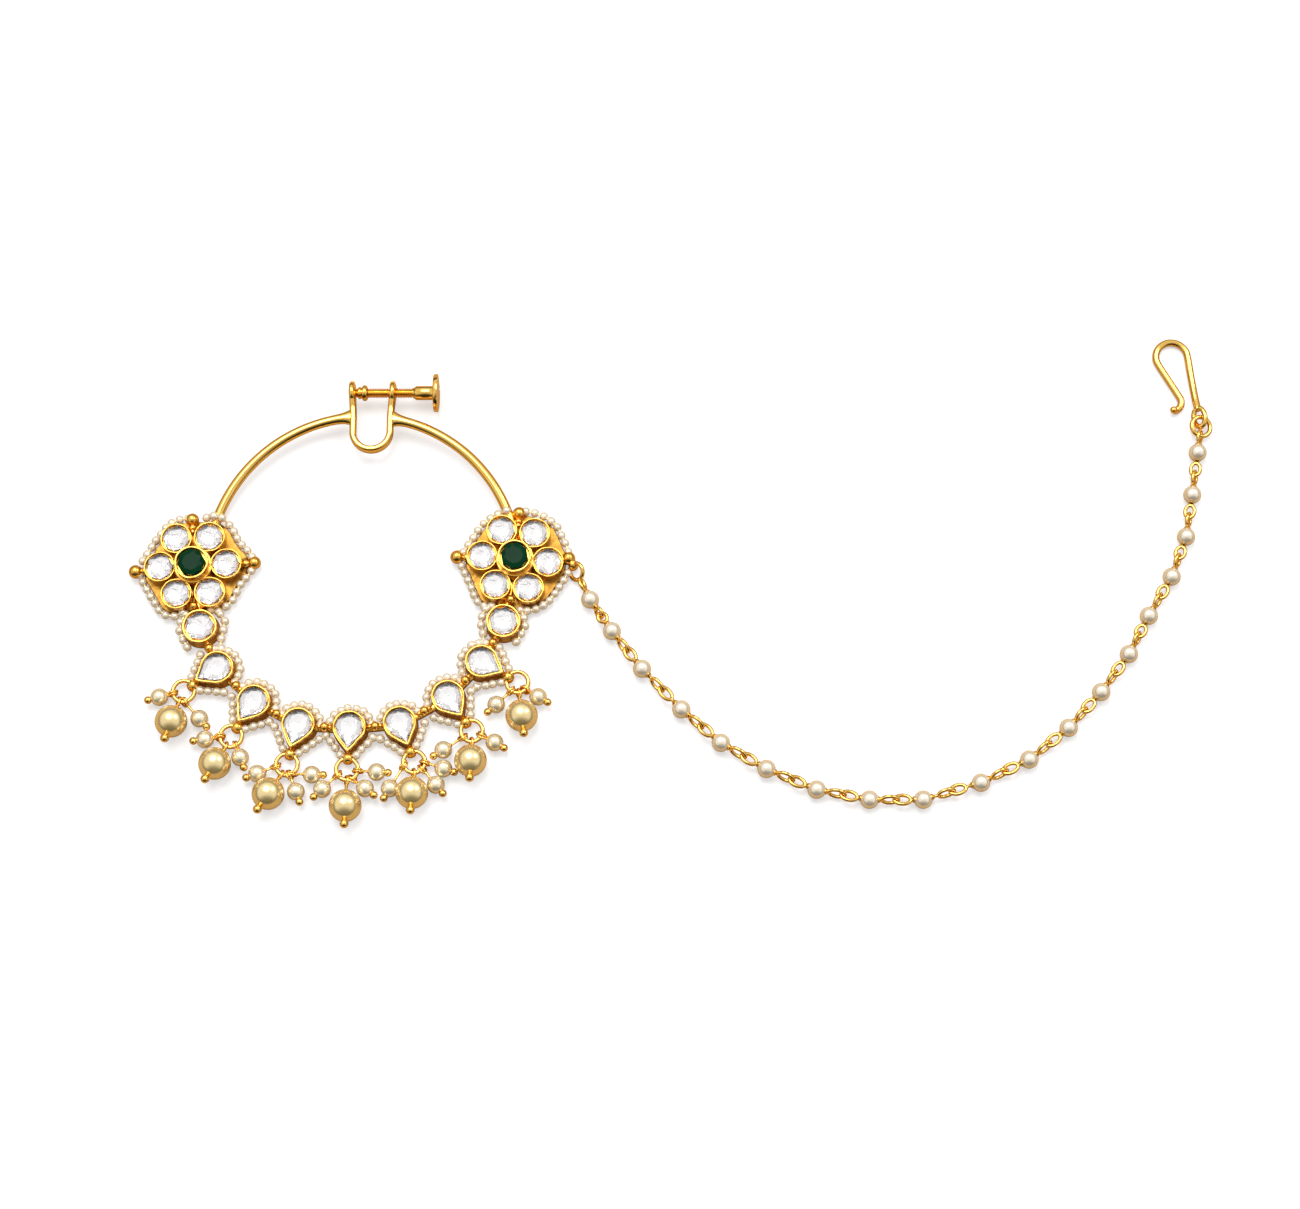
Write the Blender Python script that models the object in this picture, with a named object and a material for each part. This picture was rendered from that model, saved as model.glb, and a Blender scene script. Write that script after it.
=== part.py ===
"""Kundan nose ring: a gold hoop with a screw clip at its top, two flower settings, a crescent of
teardrop settings with pearl drops, and a pearl support chain that ends in a hook. It lies flat on
its settings' backs. Lengths are in metres, +Z is up, and the origin is the middle of its underside."""

import math
from collections import namedtuple

import bmesh
import bpy
from mathutils import Matrix, Vector

# Circle of the settings and the wires that carry them
RING_RADIUS = 0.0266
HOOP_RADIUS = 0.0249
HOOP_SHIFT = 0.0009
HOOP_WIRE = 0.0016
HOOP_LOW_HEIGHT = 0.00105
RAIL_WIRE = 0.0015
SPOKE_WIRE = 0.0011

# Collets and the stones in them
COLLET_HEIGHT = 0.0032
SEAT_DEPTH = 0.0011
BEZEL_WALL = 0.0003
STONE_GAP = 0.00006
STONE_RISE = 0.00025
GIRDLE_SHARE = 0.6
TABLE_SHARE = 0.5
PETAL_COUNT = 6
PETAL_STONE = 0.0043
PETAL_CIRCLE = 0.0053
FLOWER_PLATE_RIM = 0.00009
FLOWER_PLATE_THICKNESS = 0.0019
EMERALD = 0.0045
EMERALD_RISE = 0.0016
EMERALD_SEAT_DEPTH = 0.0013
EMERALD_WALL = 0.0004
ROUND_STONE = 0.0046
ROUND_WALL = 0.00038
TEARDROP_STONE = 0.0044
TEARDROP_STONE_LENGTH = 0.0057
TEARDROP_WALL = 0.00036

# Gold balls on and between the settings
SIDE_BALL = 0.0021
SIDE_BALL_REACH = 0.0092
TOP_BALL = 0.0020
TOP_BALL_REACH = 0.0080
LOWER_BALL = 0.0014
LOWER_BALL_REACH = 0.0066
BALL_HEIGHT = 0.0015
LOWER_BALL_HEIGHT = 0.0024
LINK_BALL = 0.0013
LINK_BALL_HEIGHT = 0.0019

# Screw clip
CLIP_HEIGHT = 0.0031
CLIP_X = 0.0019
CLIP_SPAN = 0.0060
CLIP_WIRE = 0.00095
CLIP_DEPTH = 0.0056
CLIP_RISE = 0.0032
EAR_RADIUS = 0.0019
EAR_THICKNESS = 0.0009
EAR_OVER_LEG = 0.0011
SCREW_DIAMETER = 0.0015
SCREW_CLEARANCE = 0.00015
PAD_DIAMETER = 0.0026
PAD_STEP_DIAMETER = 0.0021
PAD_LENGTH = 0.0016
PAD_NECK = 0.00056
PAD_GAP = 0.0002
THREAD_BEYOND_EAR = 0.0031
BARREL_DIAMETER = 0.0022
BARREL_LENGTH = 0.0034
DISC_DIAMETER = 0.0060
DISC_THICKNESS = 0.0008
DISC_CHAMFER = 0.0002

# Pearl drops at the teardrops' points
BAIL_RADIUS = 0.00062
BAIL_WIRE = 0.00046
BAIL_BEYOND_POINT = 0.0005
TIP_BAIL_CLEARANCE = 0.0013
JUMP_RING_RADIUS = 0.00172
JUMP_RING_WIRE = 0.00055
JUMP_RING_HEIGHT = 0.0011
EYE_RADIUS = 0.00054
EYE_SLACK = 0.00004
PIN_WIRE = 0.00034
PIN_BALL = 0.0014
PIN_BALL_BEYOND = 0.0007
SMALL_BALL_BEYOND = 0.0004
LARGE_PEARL = 0.0051
LARGE_BORE = 0.0005
SMALL_PEARL = 0.0028
PIN_REACH = 0.0030
PEARL_LIFT = 0.00003

# Support chain and hook
CHAIN_PEARL = 0.0029
CHAIN_WIRE = 0.0006
CHAIN_EYE_RADIUS = 0.00075
CHAIN_RING_RADIUS = 0.00135
CHAIN_RING_WIRE = 0.0005
HOOK_RING_RADIUS = 0.0016
HOOK_RING_WIRE = 0.0006
HOOK_RING_TILT = -32
HOOK_WIRE = 0.0009
HOOK_EYE_RADIUS = 0.0010
HOOK_EYE_WIRE = 0.00068
HOOK_EYE_TILT = 26
HOOK_SHANK = 0.0091
HOOK_TURN_RADIUS = 0.0026
HOOK_TURN_ANGLE = 203
HOOK_RETURN = 0.0056
HOOK_CURL_RADIUS = 0.0014
HOOK_CURL_ANGLE = 115
HOOK_HEADING = 96

# A setting's place on the circle: bearing in degrees, distance as a share of RING_RADIUS, and the
# direction its point or its first petal faces
Setting = namedtuple("Setting", "name bearing reach facing")
LEFT_FLOWER = Setting("left", 180.4, 0.975, 3.0)
RIGHT_FLOWER = Setting("right", 2.0, 0.957, -5.5)
ROUNDS = (
    Setting("left", 202.8, 0.995, 0),
    Setting("right", 338.4, 0.960, 0),
)
TEARDROPS = (
    Setting("1", 218.5, 1.025, 213),
    Setting("2", 235.7, 1.022, 236),
    Setting("3", 252.6, 1.030, 254),
    Setting("4", 269.7, 1.002, 267),
    Setting("5", 286.6, 1.016, 291),
    Setting("6", 305.0, 0.996, 306),
    Setting("7", 321.9, 0.974, 332),
)

# One drop on a jump ring: where on the ring it hangs, the way its pin lies, both in degrees, and
# the distance from the ring to the pearl's middle as a share of PIN_REACH
Drop = namedtuple("Drop", "hang lie reach")
LARGE_DROPS = (
    Drop(246, 258, 1.24),
    Drop(243, 247, 1.13),
    Drop(243, 243, 1.27),
    Drop(270, 271, 1.45),
    Drop(269, 269, 1.16),
    Drop(270, 270, 1.12),
    Drop(278, 278, 1.36),
)
SMALL_DROPS = (
    (Drop(192, 198, 0.72), Drop(278, 312, 1.25)),
    (Drop(185, 190, 0.78), Drop(300, 292, 0.70)),
    (Drop(190, 203, 1.02), Drop(290, 291, 0.98), Drop(300, 357, 1.06)),
    (Drop(213, 225, 1.08), Drop(300, 322, 0.88), Drop(352, 355, 1.00)),
    (Drop(200, 241, 1.41), Drop(322, 309, 1.14), Drop(358, 340, 1.04)),
    (Drop(218, 214, 1.22), Drop(338, 328, 0.80)),
    (Drop(236, 224, 1.08), Drop(318, 328, 0.80)),
)

# Resting places of the chain's pearls, from the bail at the right flower's tip
CHAIN_ROUTE = (
    (0.0028, -0.0059), (0.0063, -0.0111), (0.0111, -0.0173), (0.0173, -0.0239), (0.0235, -0.0293),
    (0.0306, -0.0335), (0.0384, -0.0368), (0.0466, -0.0384), (0.0550, -0.0384), (0.0641, -0.0357),
    (0.0718, -0.0320), (0.0782, -0.0269), (0.0836, -0.0211), (0.0883, -0.0149), (0.0918, -0.0086),
    (0.0958, -0.0021), (0.0985, 0.0046), (0.0999, 0.0117), (0.1012, 0.0189),
)

# Sides of round pieces
BEAD_SIDES = 10
BEAD_RINGS = 5
SMALL_BALL_RINGS = 4
SCREW_SIDES = 12
COLLET_SIDES = 10
LINK_SIDES = 10
LINK_WIRE_SIDES = 5
WIRE_RESOLUTION = 1

GOLD = ("gold", (0.83, 0.52, 0.13), 0.22, 1.0)
KUNDAN = ("kundan_glass", (0.86, 0.87, 0.88), 0.05, 0.2)
GREEN = ("emerald_glass", (0.0, 0.07, 0.03), 0.08, 0.0)
GOLDEN_PEARL = ("golden_pearl", (0.83, 0.72, 0.45), 0.18, 0.0)
CREAM_PEARL = ("cream_pearl", (0.90, 0.82, 0.70), 0.2, 0.0)


def polar(bearing, distance, height=0.0):
    angle = math.radians(bearing)
    return Vector((distance * math.cos(angle), distance * math.sin(angle), height))


def place(setting):
    """The setting's middle on the ground, in the ring's own frame."""
    return polar(setting.bearing, setting.reach * RING_RADIUS)


def new_collection(name):
    collection = bpy.data.collections.new(name)
    bpy.context.scene.collection.children.link(collection)
    return collection


def material(name, colour, roughness, metallic):
    found = bpy.data.materials.get(name)
    if found:
        return found
    made = bpy.data.materials.new(name)
    made.use_nodes = True
    shader = made.node_tree.nodes["Principled BSDF"]
    shader.inputs["Base Color"].default_value = (*colour, 1.0)
    shader.inputs["Roughness"].default_value = roughness
    shader.inputs["Metallic"].default_value = metallic
    return made


def piece(name, mesh, collection):
    made = bpy.data.objects.new(name, mesh)
    collection.objects.link(made)
    return made


def from_bmesh(name, build, collection=None):
    """An object whose mesh the function build fills."""
    work = bmesh.new()
    build(work)
    bmesh.ops.recalc_face_normals(work, faces=work.faces)
    mesh = bpy.data.meshes.new(name)
    work.to_mesh(mesh)
    work.free()
    return piece(name, mesh, collection or helpers)


def finish(node, look):
    """Gives the node its material and smooth shading, and hangs it on the ring's empty."""
    node.data.materials.clear()
    node.data.materials.append(material(*look))
    node.data.shade_smooth()
    node.data.set_sharp_from_angle(angle=math.radians(40))
    node.parent = ring_frame
    return node


def cylinder(radius, bottom, top, where, sides=COLLET_SIDES):
    """An upright cylinder between two heights."""
    def build(work):
        bmesh.ops.create_cone(
            work, cap_ends=True, segments=sides, radius1=radius, radius2=radius,
            depth=top - bottom,
            matrix=Matrix.Translation(where + Vector((0, 0, (top + bottom) / 2))))
    return from_bmesh("cylinder", build)


def ball(diameter, where, rings=BEAD_RINGS):
    def build(work):
        bmesh.ops.create_uvsphere(
            work, u_segments=BEAD_SIDES, v_segments=rings, radius=diameter / 2,
            matrix=Matrix.Translation(where))
    return from_bmesh("ball", build)


def wire(points, diameter, closed=False, resolution=WIRE_RESOLUTION):
    """A round wire through the points, made a closed mesh."""
    curve = bpy.data.curves.new("wire", "CURVE")
    curve.dimensions = "3D"
    curve.bevel_depth = diameter / 2
    curve.bevel_resolution = resolution
    curve.use_fill_caps = not closed
    spline = curve.splines.new("POLY")
    spline.points.add(len(points) - 1)
    for spot, point in zip(spline.points, points):
        spot.co = (*point, 1)
    spline.use_cyclic_u = closed
    drawn = piece("wire_curve", curve, helpers)
    graph = bpy.context.evaluated_depsgraph_get()
    mesh = bpy.data.meshes.new_from_object(drawn.evaluated_get(graph))
    work = bmesh.new()
    work.from_mesh(mesh)
    bmesh.ops.remove_doubles(work, verts=work.verts, dist=diameter / 1000)
    bmesh.ops.recalc_face_normals(work, faces=work.faces)
    work.to_mesh(mesh)
    work.free()
    made = piece("wire", mesh, helpers)
    made.matrix_world = drawn.matrix_world.copy()
    bpy.data.objects.remove(drawn)
    return made


def link(radius, diameter, where, axis, along):
    """A closed link of round wire. Its hole faces axis, and its first point lies along a direction."""
    axis = axis.normalized()
    first = (along - along.dot(axis) * axis).normalized()
    second = axis.cross(first)

    def build(work):
        rings = []
        for step in range(LINK_SIDES):
            turn = math.tau * step / LINK_SIDES
            outward = math.cos(turn) * first + math.sin(turn) * second
            middle = where + radius * outward
            rings.append([
                work.verts.new(middle + diameter / 2 * (
                    math.cos(math.tau * side / LINK_WIRE_SIDES) * outward
                    + math.sin(math.tau * side / LINK_WIRE_SIDES) * axis))
                for side in range(LINK_WIRE_SIDES)])
        for ring, following in zip(rings, rings[1:] + rings[:1]):
            for side in range(LINK_WIRE_SIDES):
                other = (side + 1) % LINK_WIRE_SIDES
                work.faces.new((ring[side], ring[other], following[other], following[side]))
    return from_bmesh("link", build)


def circle_outline(radius):
    return [polar(360 * step / COLLET_SIDES, radius) for step in range(COLLET_SIDES)]


def teardrop_outline(radius, length):
    """A circle about the origin drawn out to a point at +X, length from its far side."""
    point = length - radius
    tangent = math.degrees(math.acos(radius / point))
    arc = [tangent + (360 - 2 * tangent) * step / (COLLET_SIDES - 2)
           for step in range(COLLET_SIDES - 1)]
    return [Vector((point, 0, 0))] + [polar(bearing, radius) for bearing in arc]


def grown_teardrop(radius, length, wall):
    """The teardrop's outline moved outward by a wall all round."""
    point = length - radius
    outer = radius + wall
    return teardrop_outline(outer, outer + point * outer / radius)


def loft(name, loops, collection=None):
    """A closed solid through loops of equally many points, capped at its first and last."""
    def build(work):
        rings = [[work.verts.new(point) for point in loop] for loop in loops]
        work.faces.new(rings[0])
        work.faces.new(rings[-1])
        for ring, following in zip(rings, rings[1:]):
            for step in range(len(ring)):
                other = (step + 1) % len(ring)
                work.faces.new((ring[step], ring[other], following[other], following[step]))
    return from_bmesh(name, build, collection)


def raised(outline, height, share=1.0):
    return [Vector((point.x * share, point.y * share, height)) for point in outline]


def collet(outer, inner, height, seat, middle, facing=0.0, bottom=0.0):
    """A cup: outer wall, flat rim and a seat for the stone."""
    cup = loft("collet", (raised(outer, bottom), raised(outer, height), raised(inner, height),
                          raised(inner, height - seat)))
    cup.matrix_world = Matrix.Translation(middle) @ Matrix.Rotation(math.radians(facing), 4, "Z")
    return cup


def cut_stone(name, outline, seat_height, seat_depth, rise, middle, facing, look):
    """A flat-backed stone with a girdle, a crown of facets and a table."""
    girdle = seat_depth * GIRDLE_SHARE
    loops = (raised(outline, 0), raised(outline, girdle),
             raised(outline, seat_depth + rise, TABLE_SHARE))
    stone = loft(name, loops, parts)
    lifted = middle + Vector((0, 0, seat_height + STONE_GAP))
    stone.location = lifted
    stone.rotation_euler = (0, 0, math.radians(facing))
    return finish(stone, look)


def fuse(name, pieces, look):
    """One solid from overlapping pieces."""
    base = pieces[0]
    gathered = new_collection(name + "_pieces")
    for extra in pieces[1:]:
        gathered.objects.link(extra)
    union = base.modifiers.new("union", "BOOLEAN")
    union.operation = "UNION"
    union.operand_type = "COLLECTION"
    union.collection = gathered
    bpy.context.view_layer.update()
    graph = bpy.context.evaluated_depsgraph_get()
    mesh = bpy.data.meshes.new_from_object(base.evaluated_get(graph))
    mesh.transform(base.matrix_world)
    for used in pieces:
        bpy.data.objects.remove(used)
    bpy.data.collections.remove(gathered)
    return finish(piece(name, mesh, parts), look)


def flower_plate_radius():
    """Radius of a flower's back plate, a rim wider than the circle round its petals' collets."""
    return PETAL_CIRCLE + PETAL_STONE / 2 + STONE_GAP + BEZEL_WALL + FLOWER_PLATE_RIM


def flower(setting):
    """The gold of one flower: back plate, petals' collets, raised middle and balls."""
    middle = place(setting)
    facing = setting.facing
    stone_radius = PETAL_STONE / 2 + STONE_GAP
    petal_inner = circle_outline(stone_radius)
    petal_outer = circle_outline(stone_radius + BEZEL_WALL)
    sunk = FLOWER_PLATE_THICKNESS / 2
    skirt_top = COLLET_HEIGHT + (EMERALD_RISE - EMERALD_SEAT_DEPTH) / 2
    gold = [cylinder(flower_plate_radius(), 0, FLOWER_PLATE_THICKNESS, middle, 2 * COLLET_SIDES)]
    for number in range(PETAL_COUNT):
        bearing = facing + 360 * number / PETAL_COUNT
        gold.append(collet(petal_outer, petal_inner, COLLET_HEIGHT, SEAT_DEPTH,
                           middle + polar(bearing, PETAL_CIRCLE), facing, sunk))
    emerald_radius = EMERALD / 2 + STONE_GAP
    skirt = PETAL_CIRCLE - stone_radius - BEZEL_WALL / 2
    gold.append(cylinder(skirt, sunk, skirt_top, middle))
    gold.append(collet(circle_outline(emerald_radius + EMERALD_WALL),
                       circle_outline(emerald_radius), COLLET_HEIGHT + EMERALD_RISE,
                       EMERALD_SEAT_DEPTH, middle, facing, COLLET_HEIGHT / 2))
    balls = [(90, TOP_BALL_REACH, TOP_BALL, BALL_HEIGHT),
             (180, SIDE_BALL_REACH, SIDE_BALL, BALL_HEIGHT),
             (270, LOWER_BALL_REACH, LOWER_BALL, LOWER_BALL_HEIGHT)]
    if setting is LEFT_FLOWER:
        balls.append((0, SIDE_BALL_REACH, SIDE_BALL, BALL_HEIGHT))
    for bearing, reach, diameter, height in balls:
        spot = middle + polar(facing + bearing, reach, height)
        gold.append(ball(diameter, spot))
        if diameter > LOWER_BALL:
            gold.append(wire([middle + Vector((0, 0, HOOP_LOW_HEIGHT)), spot], SPOKE_WIRE))
    return gold


def bail_reach():
    """Distance of a bail from its teardrop's middle, just past the collet's point."""
    radius = TEARDROP_STONE / 2
    outer = radius + STONE_GAP + TEARDROP_WALL
    return (TEARDROP_STONE_LENGTH - radius) * outer / radius + BAIL_BEYOND_POINT


def bail(middle, bearing):
    """An upright eye at a setting's point, its hole facing along the ring's edge."""
    return link(BAIL_RADIUS, BAIL_WIRE, middle + Vector((0, 0, JUMP_RING_HEIGHT)),
                polar(bearing + 90, 1), along=polar(bearing, 1))


def tip_bail_place():
    """Middle of the bail at the right flower's outer tip, clear of the plate's rim."""
    reach = flower_plate_radius() + TIP_BAIL_CLEARANCE
    return place(RIGHT_FLOWER) + polar(RIGHT_FLOWER.facing / 2, reach)


def chain_bearing():
    """The way the chain leaves the right flower's bail."""
    return math.degrees(math.atan2(CHAIN_ROUTE[0][1], CHAIN_ROUTE[0][0]))


def hoop_arm(flower_setting, start, stop, steps=10):
    """Hoop wire from the clip round to below a flower, sinking to the settings' backs."""
    points = []
    for step in range(steps + 1):
        share = step / steps
        height = HOOP_LOW_HEIGHT + (CLIP_HEIGHT - HOOP_LOW_HEIGHT) * math.cos(share * math.pi / 2)
        spot = polar(start + (stop - start) * share, HOOP_RADIUS, height)
        points.append(spot + Vector((HOOP_SHIFT, 0, 0)))
    middle = place(flower_setting)
    points.append(Vector((middle.x, middle.y, HOOP_LOW_HEIGHT)))
    return wire(points, HOOP_WIRE, resolution=2)


def clip_base():
    """Where the hoop's circle meets the clip's middle line."""
    return math.sqrt(HOOP_RADIUS ** 2 - (CLIP_X - HOOP_SHIFT) ** 2)


def screw_axis():
    """A point of the screw's axis midway between the ears."""
    return Vector((CLIP_X, clip_base() + CLIP_RISE + EAR_RADIUS / 2, CLIP_HEIGHT))


def clip():
    """The U of wire and its two ears, the right one drilled for the screw."""
    base = clip_base()
    axis = screw_axis()
    bend = CLIP_SPAN / 2
    low = base - CLIP_DEPTH + bend
    leg_end = axis.y - EAR_OVER_LEG
    points = [Vector((CLIP_X - bend, leg_end, CLIP_HEIGHT)),
              Vector((CLIP_X - bend, low, CLIP_HEIGHT))]
    for step in range(1, 8):
        bend_spot = polar(180 + 180 * step / 8, bend, CLIP_HEIGHT)
        points.append(Vector((CLIP_X, low, 0)) + bend_spot)
    points += [Vector((CLIP_X + bend, low, CLIP_HEIGHT)),
               Vector((CLIP_X + bend, leg_end, CLIP_HEIGHT))]
    gold = [wire(points, CLIP_WIRE, resolution=2)]
    along_x = Matrix.Rotation(math.pi / 2, 4, "Y")
    hole = SCREW_DIAMETER / 2 + SCREW_CLEARANCE
    for side in (-1, 1):
        outer = circle_outline(EAR_RADIUS)
        half = EAR_THICKNESS / 2
        if side < 0:
            ear = loft("ear", (raised(outer, -half), raised(outer, half)))
        else:
            ear = washer(outer, circle_outline(hole), half)
        ear.matrix_world = Matrix.Translation(axis + Vector((side * bend, 0, 0))) @ along_x
        gold.append(ear)
    return gold


def washer(outer, inner, half):
    """A flat ring between two outlines."""
    def build(work):
        loops = [[work.verts.new(point) for point in raised(outline, height)]
                 for outline, height in ((outer, -half), (outer, half), (inner, half), (inner, -half))]
        for loop, following in zip(loops, loops[1:] + loops[:1]):
            for step in range(len(loop)):
                other = (step + 1) % len(loop)
                work.faces.new((loop[step], loop[other], following[other], following[step]))
    return from_bmesh("washer", build)


def hoop_frame():
    """All the soldered gold: hoop, clip, settings, rail, balls and bails."""
    gold = [hoop_arm(LEFT_FLOWER, left_joint(), 170)]
    gold.append(hoop_arm(RIGHT_FLOWER, right_joint(), 10))
    gold += clip()
    gold += flower(LEFT_FLOWER) + flower(RIGHT_FLOWER)
    stone_radius = ROUND_STONE / 2 + STONE_GAP
    for setting in ROUNDS:
        gold.append(collet(circle_outline(stone_radius + ROUND_WALL), circle_outline(stone_radius),
                           COLLET_HEIGHT, SEAT_DEPTH, place(setting)))
    for setting in TEARDROPS:
        outline = (TEARDROP_STONE / 2, TEARDROP_STONE_LENGTH)
        gold.append(collet(grown_teardrop(*outline, STONE_GAP + TEARDROP_WALL),
                           grown_teardrop(*outline, STONE_GAP), COLLET_HEIGHT, SEAT_DEPTH,
                           place(setting), setting.facing))
        gold.append(bail(place(setting) + polar(setting.facing, bail_reach()), setting.facing))
    row = [LEFT_FLOWER, ROUNDS[0], *TEARDROPS, ROUNDS[1], RIGHT_FLOWER]
    rail_height = Vector((0, 0, HOOP_LOW_HEIGHT))
    gold.append(wire([place(setting) + rail_height for setting in row], RAIL_WIRE))
    for setting, following in zip(row[1:], row[2:-1]):
        spot = (place(setting) + place(following)) / 2
        gold.append(ball(LINK_BALL, spot + Vector((0, 0, LINK_BALL_HEIGHT)), rings=SMALL_BALL_RINGS))
    tip = tip_bail_place()
    low = Vector((0, 0, JUMP_RING_HEIGHT))
    back = tip + low - polar(chain_bearing(), BAIL_RADIUS)
    gold.append(wire([place(RIGHT_FLOWER) + low, back], SPOKE_WIRE))
    gold.append(bail(tip, chain_bearing()))
    return fuse("hoop_frame", gold, GOLD)


def left_joint():
    """Bearing, on the hoop's circle, of the clip's left leg."""
    return math.degrees(math.acos((CLIP_X - CLIP_SPAN / 2 - HOOP_SHIFT) / HOOP_RADIUS))


def right_joint():
    return math.degrees(math.acos((CLIP_X + CLIP_SPAN / 2 - HOOP_SHIFT) / HOOP_RADIUS))


def turned(name, profile, middle, look, sides=BEAD_SIDES):
    """A solid turned about X from (x, radius) pairs, starting and ending on the axis."""
    def build(work):
        spots = [work.verts.new((x, radius, 0)) for x, radius in profile]
        edges = [work.edges.new(pair) for pair in zip(spots, spots[1:])]
        bmesh.ops.spin(work, geom=spots + edges, cent=(0, 0, 0), axis=(1, 0, 0), angle=math.tau,
                       steps=sides, use_merge=True, use_duplicate=False)
        bmesh.ops.remove_doubles(work, verts=work.verts, dist=0.000001)
    made = from_bmesh(name, build, parts)
    made.location = middle
    return finish(made, look)


def clamp():
    """The pad that presses on the left ear and the screw behind it, both about the screw's axis."""
    axis = screw_axis()
    start = -CLIP_SPAN / 2 + EAR_THICKNESS / 2 + PAD_GAP
    neck = PAD_NECK
    turned("clamp_pad", ((start, 0), (start, PAD_STEP_DIAMETER / 2),
                         (start + neck, PAD_STEP_DIAMETER / 2), (start + neck, PAD_DIAMETER / 2),
                         (start + PAD_LENGTH, PAD_DIAMETER / 2), (start + PAD_LENGTH, 0)),
           axis, GOLD, COLLET_SIDES)
    rod = start + PAD_LENGTH + PAD_GAP
    barrel = CLIP_SPAN / 2 + EAR_THICKNESS / 2 + THREAD_BEYOND_EAR
    disc = barrel + BARREL_LENGTH
    chamfer = DISC_CHAMFER
    turned("clamp_screw", ((rod, 0), (rod, SCREW_DIAMETER / 2), (barrel, SCREW_DIAMETER / 2),
                           (barrel, BARREL_DIAMETER / 2), (disc, BARREL_DIAMETER / 2),
                           (disc, DISC_DIAMETER / 2 - chamfer), (disc + chamfer, DISC_DIAMETER / 2),
                           (disc + DISC_THICKNESS - chamfer, DISC_DIAMETER / 2),
                           (disc + DISC_THICKNESS, DISC_DIAMETER / 2 - chamfer),
                           (disc + DISC_THICKNESS, 0)),
           axis, GOLD, SCREW_SIDES)


def stones():
    seat = COLLET_HEIGHT - SEAT_DEPTH
    petal = circle_outline(PETAL_STONE / 2)
    for setting in (LEFT_FLOWER, RIGHT_FLOWER):
        middle = place(setting)
        for number in range(PETAL_COUNT):
            bearing = setting.facing + 360 * number / PETAL_COUNT
            cut_stone(f"{setting.name}_petal_{number + 1}", petal, seat, SEAT_DEPTH, STONE_RISE,
                      middle + polar(bearing, PETAL_CIRCLE), setting.facing, KUNDAN)
        emerald_seat = COLLET_HEIGHT + EMERALD_RISE - EMERALD_SEAT_DEPTH
        cut_stone(f"emerald_{setting.name}", circle_outline(EMERALD / 2), emerald_seat,
                  EMERALD_SEAT_DEPTH, STONE_RISE, middle, setting.facing, GREEN)
    for setting in ROUNDS:
        cut_stone(f"round_stone_{setting.name}", circle_outline(ROUND_STONE / 2), seat,
                  SEAT_DEPTH, STONE_RISE, place(setting), 0, KUNDAN)
    drop = teardrop_outline(TEARDROP_STONE / 2, TEARDROP_STONE_LENGTH)
    for setting in TEARDROPS:
        cut_stone(f"teardrop_stone_{setting.name}", drop, seat, SEAT_DEPTH, STONE_RISE,
                  place(setting), setting.facing, KUNDAN)


def ring_middle(setting):
    """Middle of the jump ring that hangs in a teardrop's bail."""
    return (place(setting) + polar(setting.facing, bail_reach() + JUMP_RING_RADIUS)
            + Vector((0, 0, JUMP_RING_HEIGHT)))


def pin_line(setting, drop, pearl):
    """Where a drop's eye sits on its ring, and its pearl's middle on the ground."""
    eye = ring_middle(setting) + polar(drop.hang, JUMP_RING_RADIUS)
    spot = eye + polar(drop.lie, drop.reach * PIN_REACH)
    spot.z = pearl / 2 + PEARL_LIFT
    return eye, spot


def drilled_pearl(name, middle, direction):
    """A large pearl bored along its pin."""
    radius = LARGE_PEARL / 2
    bore = LARGE_BORE / 2
    half = math.sqrt(radius ** 2 - bore ** 2)
    start = math.asin(bore / radius)

    def build(work):
        profile = []
        for step in range(BEAD_RINGS + 3):
            angle = start + (math.pi - 2 * start) * step / (BEAD_RINGS + 2)
            profile.append(work.verts.new((radius * math.sin(angle), 0, radius * math.cos(angle))))
        edges = [work.edges.new(pair) for pair in zip(profile, profile[1:] + profile[:1])]
        bmesh.ops.spin(work, geom=profile + edges, cent=(0, 0, 0), axis=(0, 0, 1),
                       angle=math.tau, steps=BEAD_SIDES, use_merge=True, use_duplicate=False)
    made = from_bmesh(name, build, parts)
    made.location = middle
    made.rotation_euler = direction.to_track_quat("Z", "Y").to_euler()
    return finish(made, GOLDEN_PEARL)


def large_drop(setting, drop):
    eye, pearl = pin_line(setting, drop, LARGE_PEARL)
    direction = (pearl - eye).normalized()
    drilled_pearl(f"large_pearl_{setting.name}", pearl, direction)
    sideways = direction.cross(Vector((0, 0, 1)))
    outward = polar(drop.hang, 1)
    hung = eye + outward * EYE_SLACK
    shank = [hung + direction * EYE_RADIUS, pearl + direction * (LARGE_PEARL / 2 + PIN_BALL_BEYOND / 2)]
    head = pearl + direction * (LARGE_PEARL / 2 + PIN_BALL_BEYOND)
    gold = [link(EYE_RADIUS, PIN_WIRE, hung, sideways, along=direction),
            wire(shank, PIN_WIRE), ball(PIN_BALL, head, rings=SMALL_BALL_RINGS)]
    fuse(f"large_pin_{setting.name}", gold, GOLD)


def drop_cluster(setting, drops):
    """A jump ring with its small pearls, each on a pin with a ball at its end."""
    middle = ring_middle(setting)
    fused = [link(JUMP_RING_RADIUS, JUMP_RING_WIRE, middle, Vector((0, 0, 1)),
                  along=polar(setting.facing, 1))]
    for drop in drops:
        eye, pearl = pin_line(setting, drop, SMALL_PEARL)
        direction = (pearl - eye).normalized()
        head = pearl + direction * (SMALL_PEARL / 2 + SMALL_BALL_BEYOND)
        fused.append(wire([eye, head], PIN_WIRE))
        fused.append(ball(SMALL_PEARL, pearl))
        fused.append(ball(PIN_BALL, head, rings=SMALL_BALL_RINGS))
    fuse(f"drop_cluster_{setting.name}", fused, CREAM_PEARL)


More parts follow.
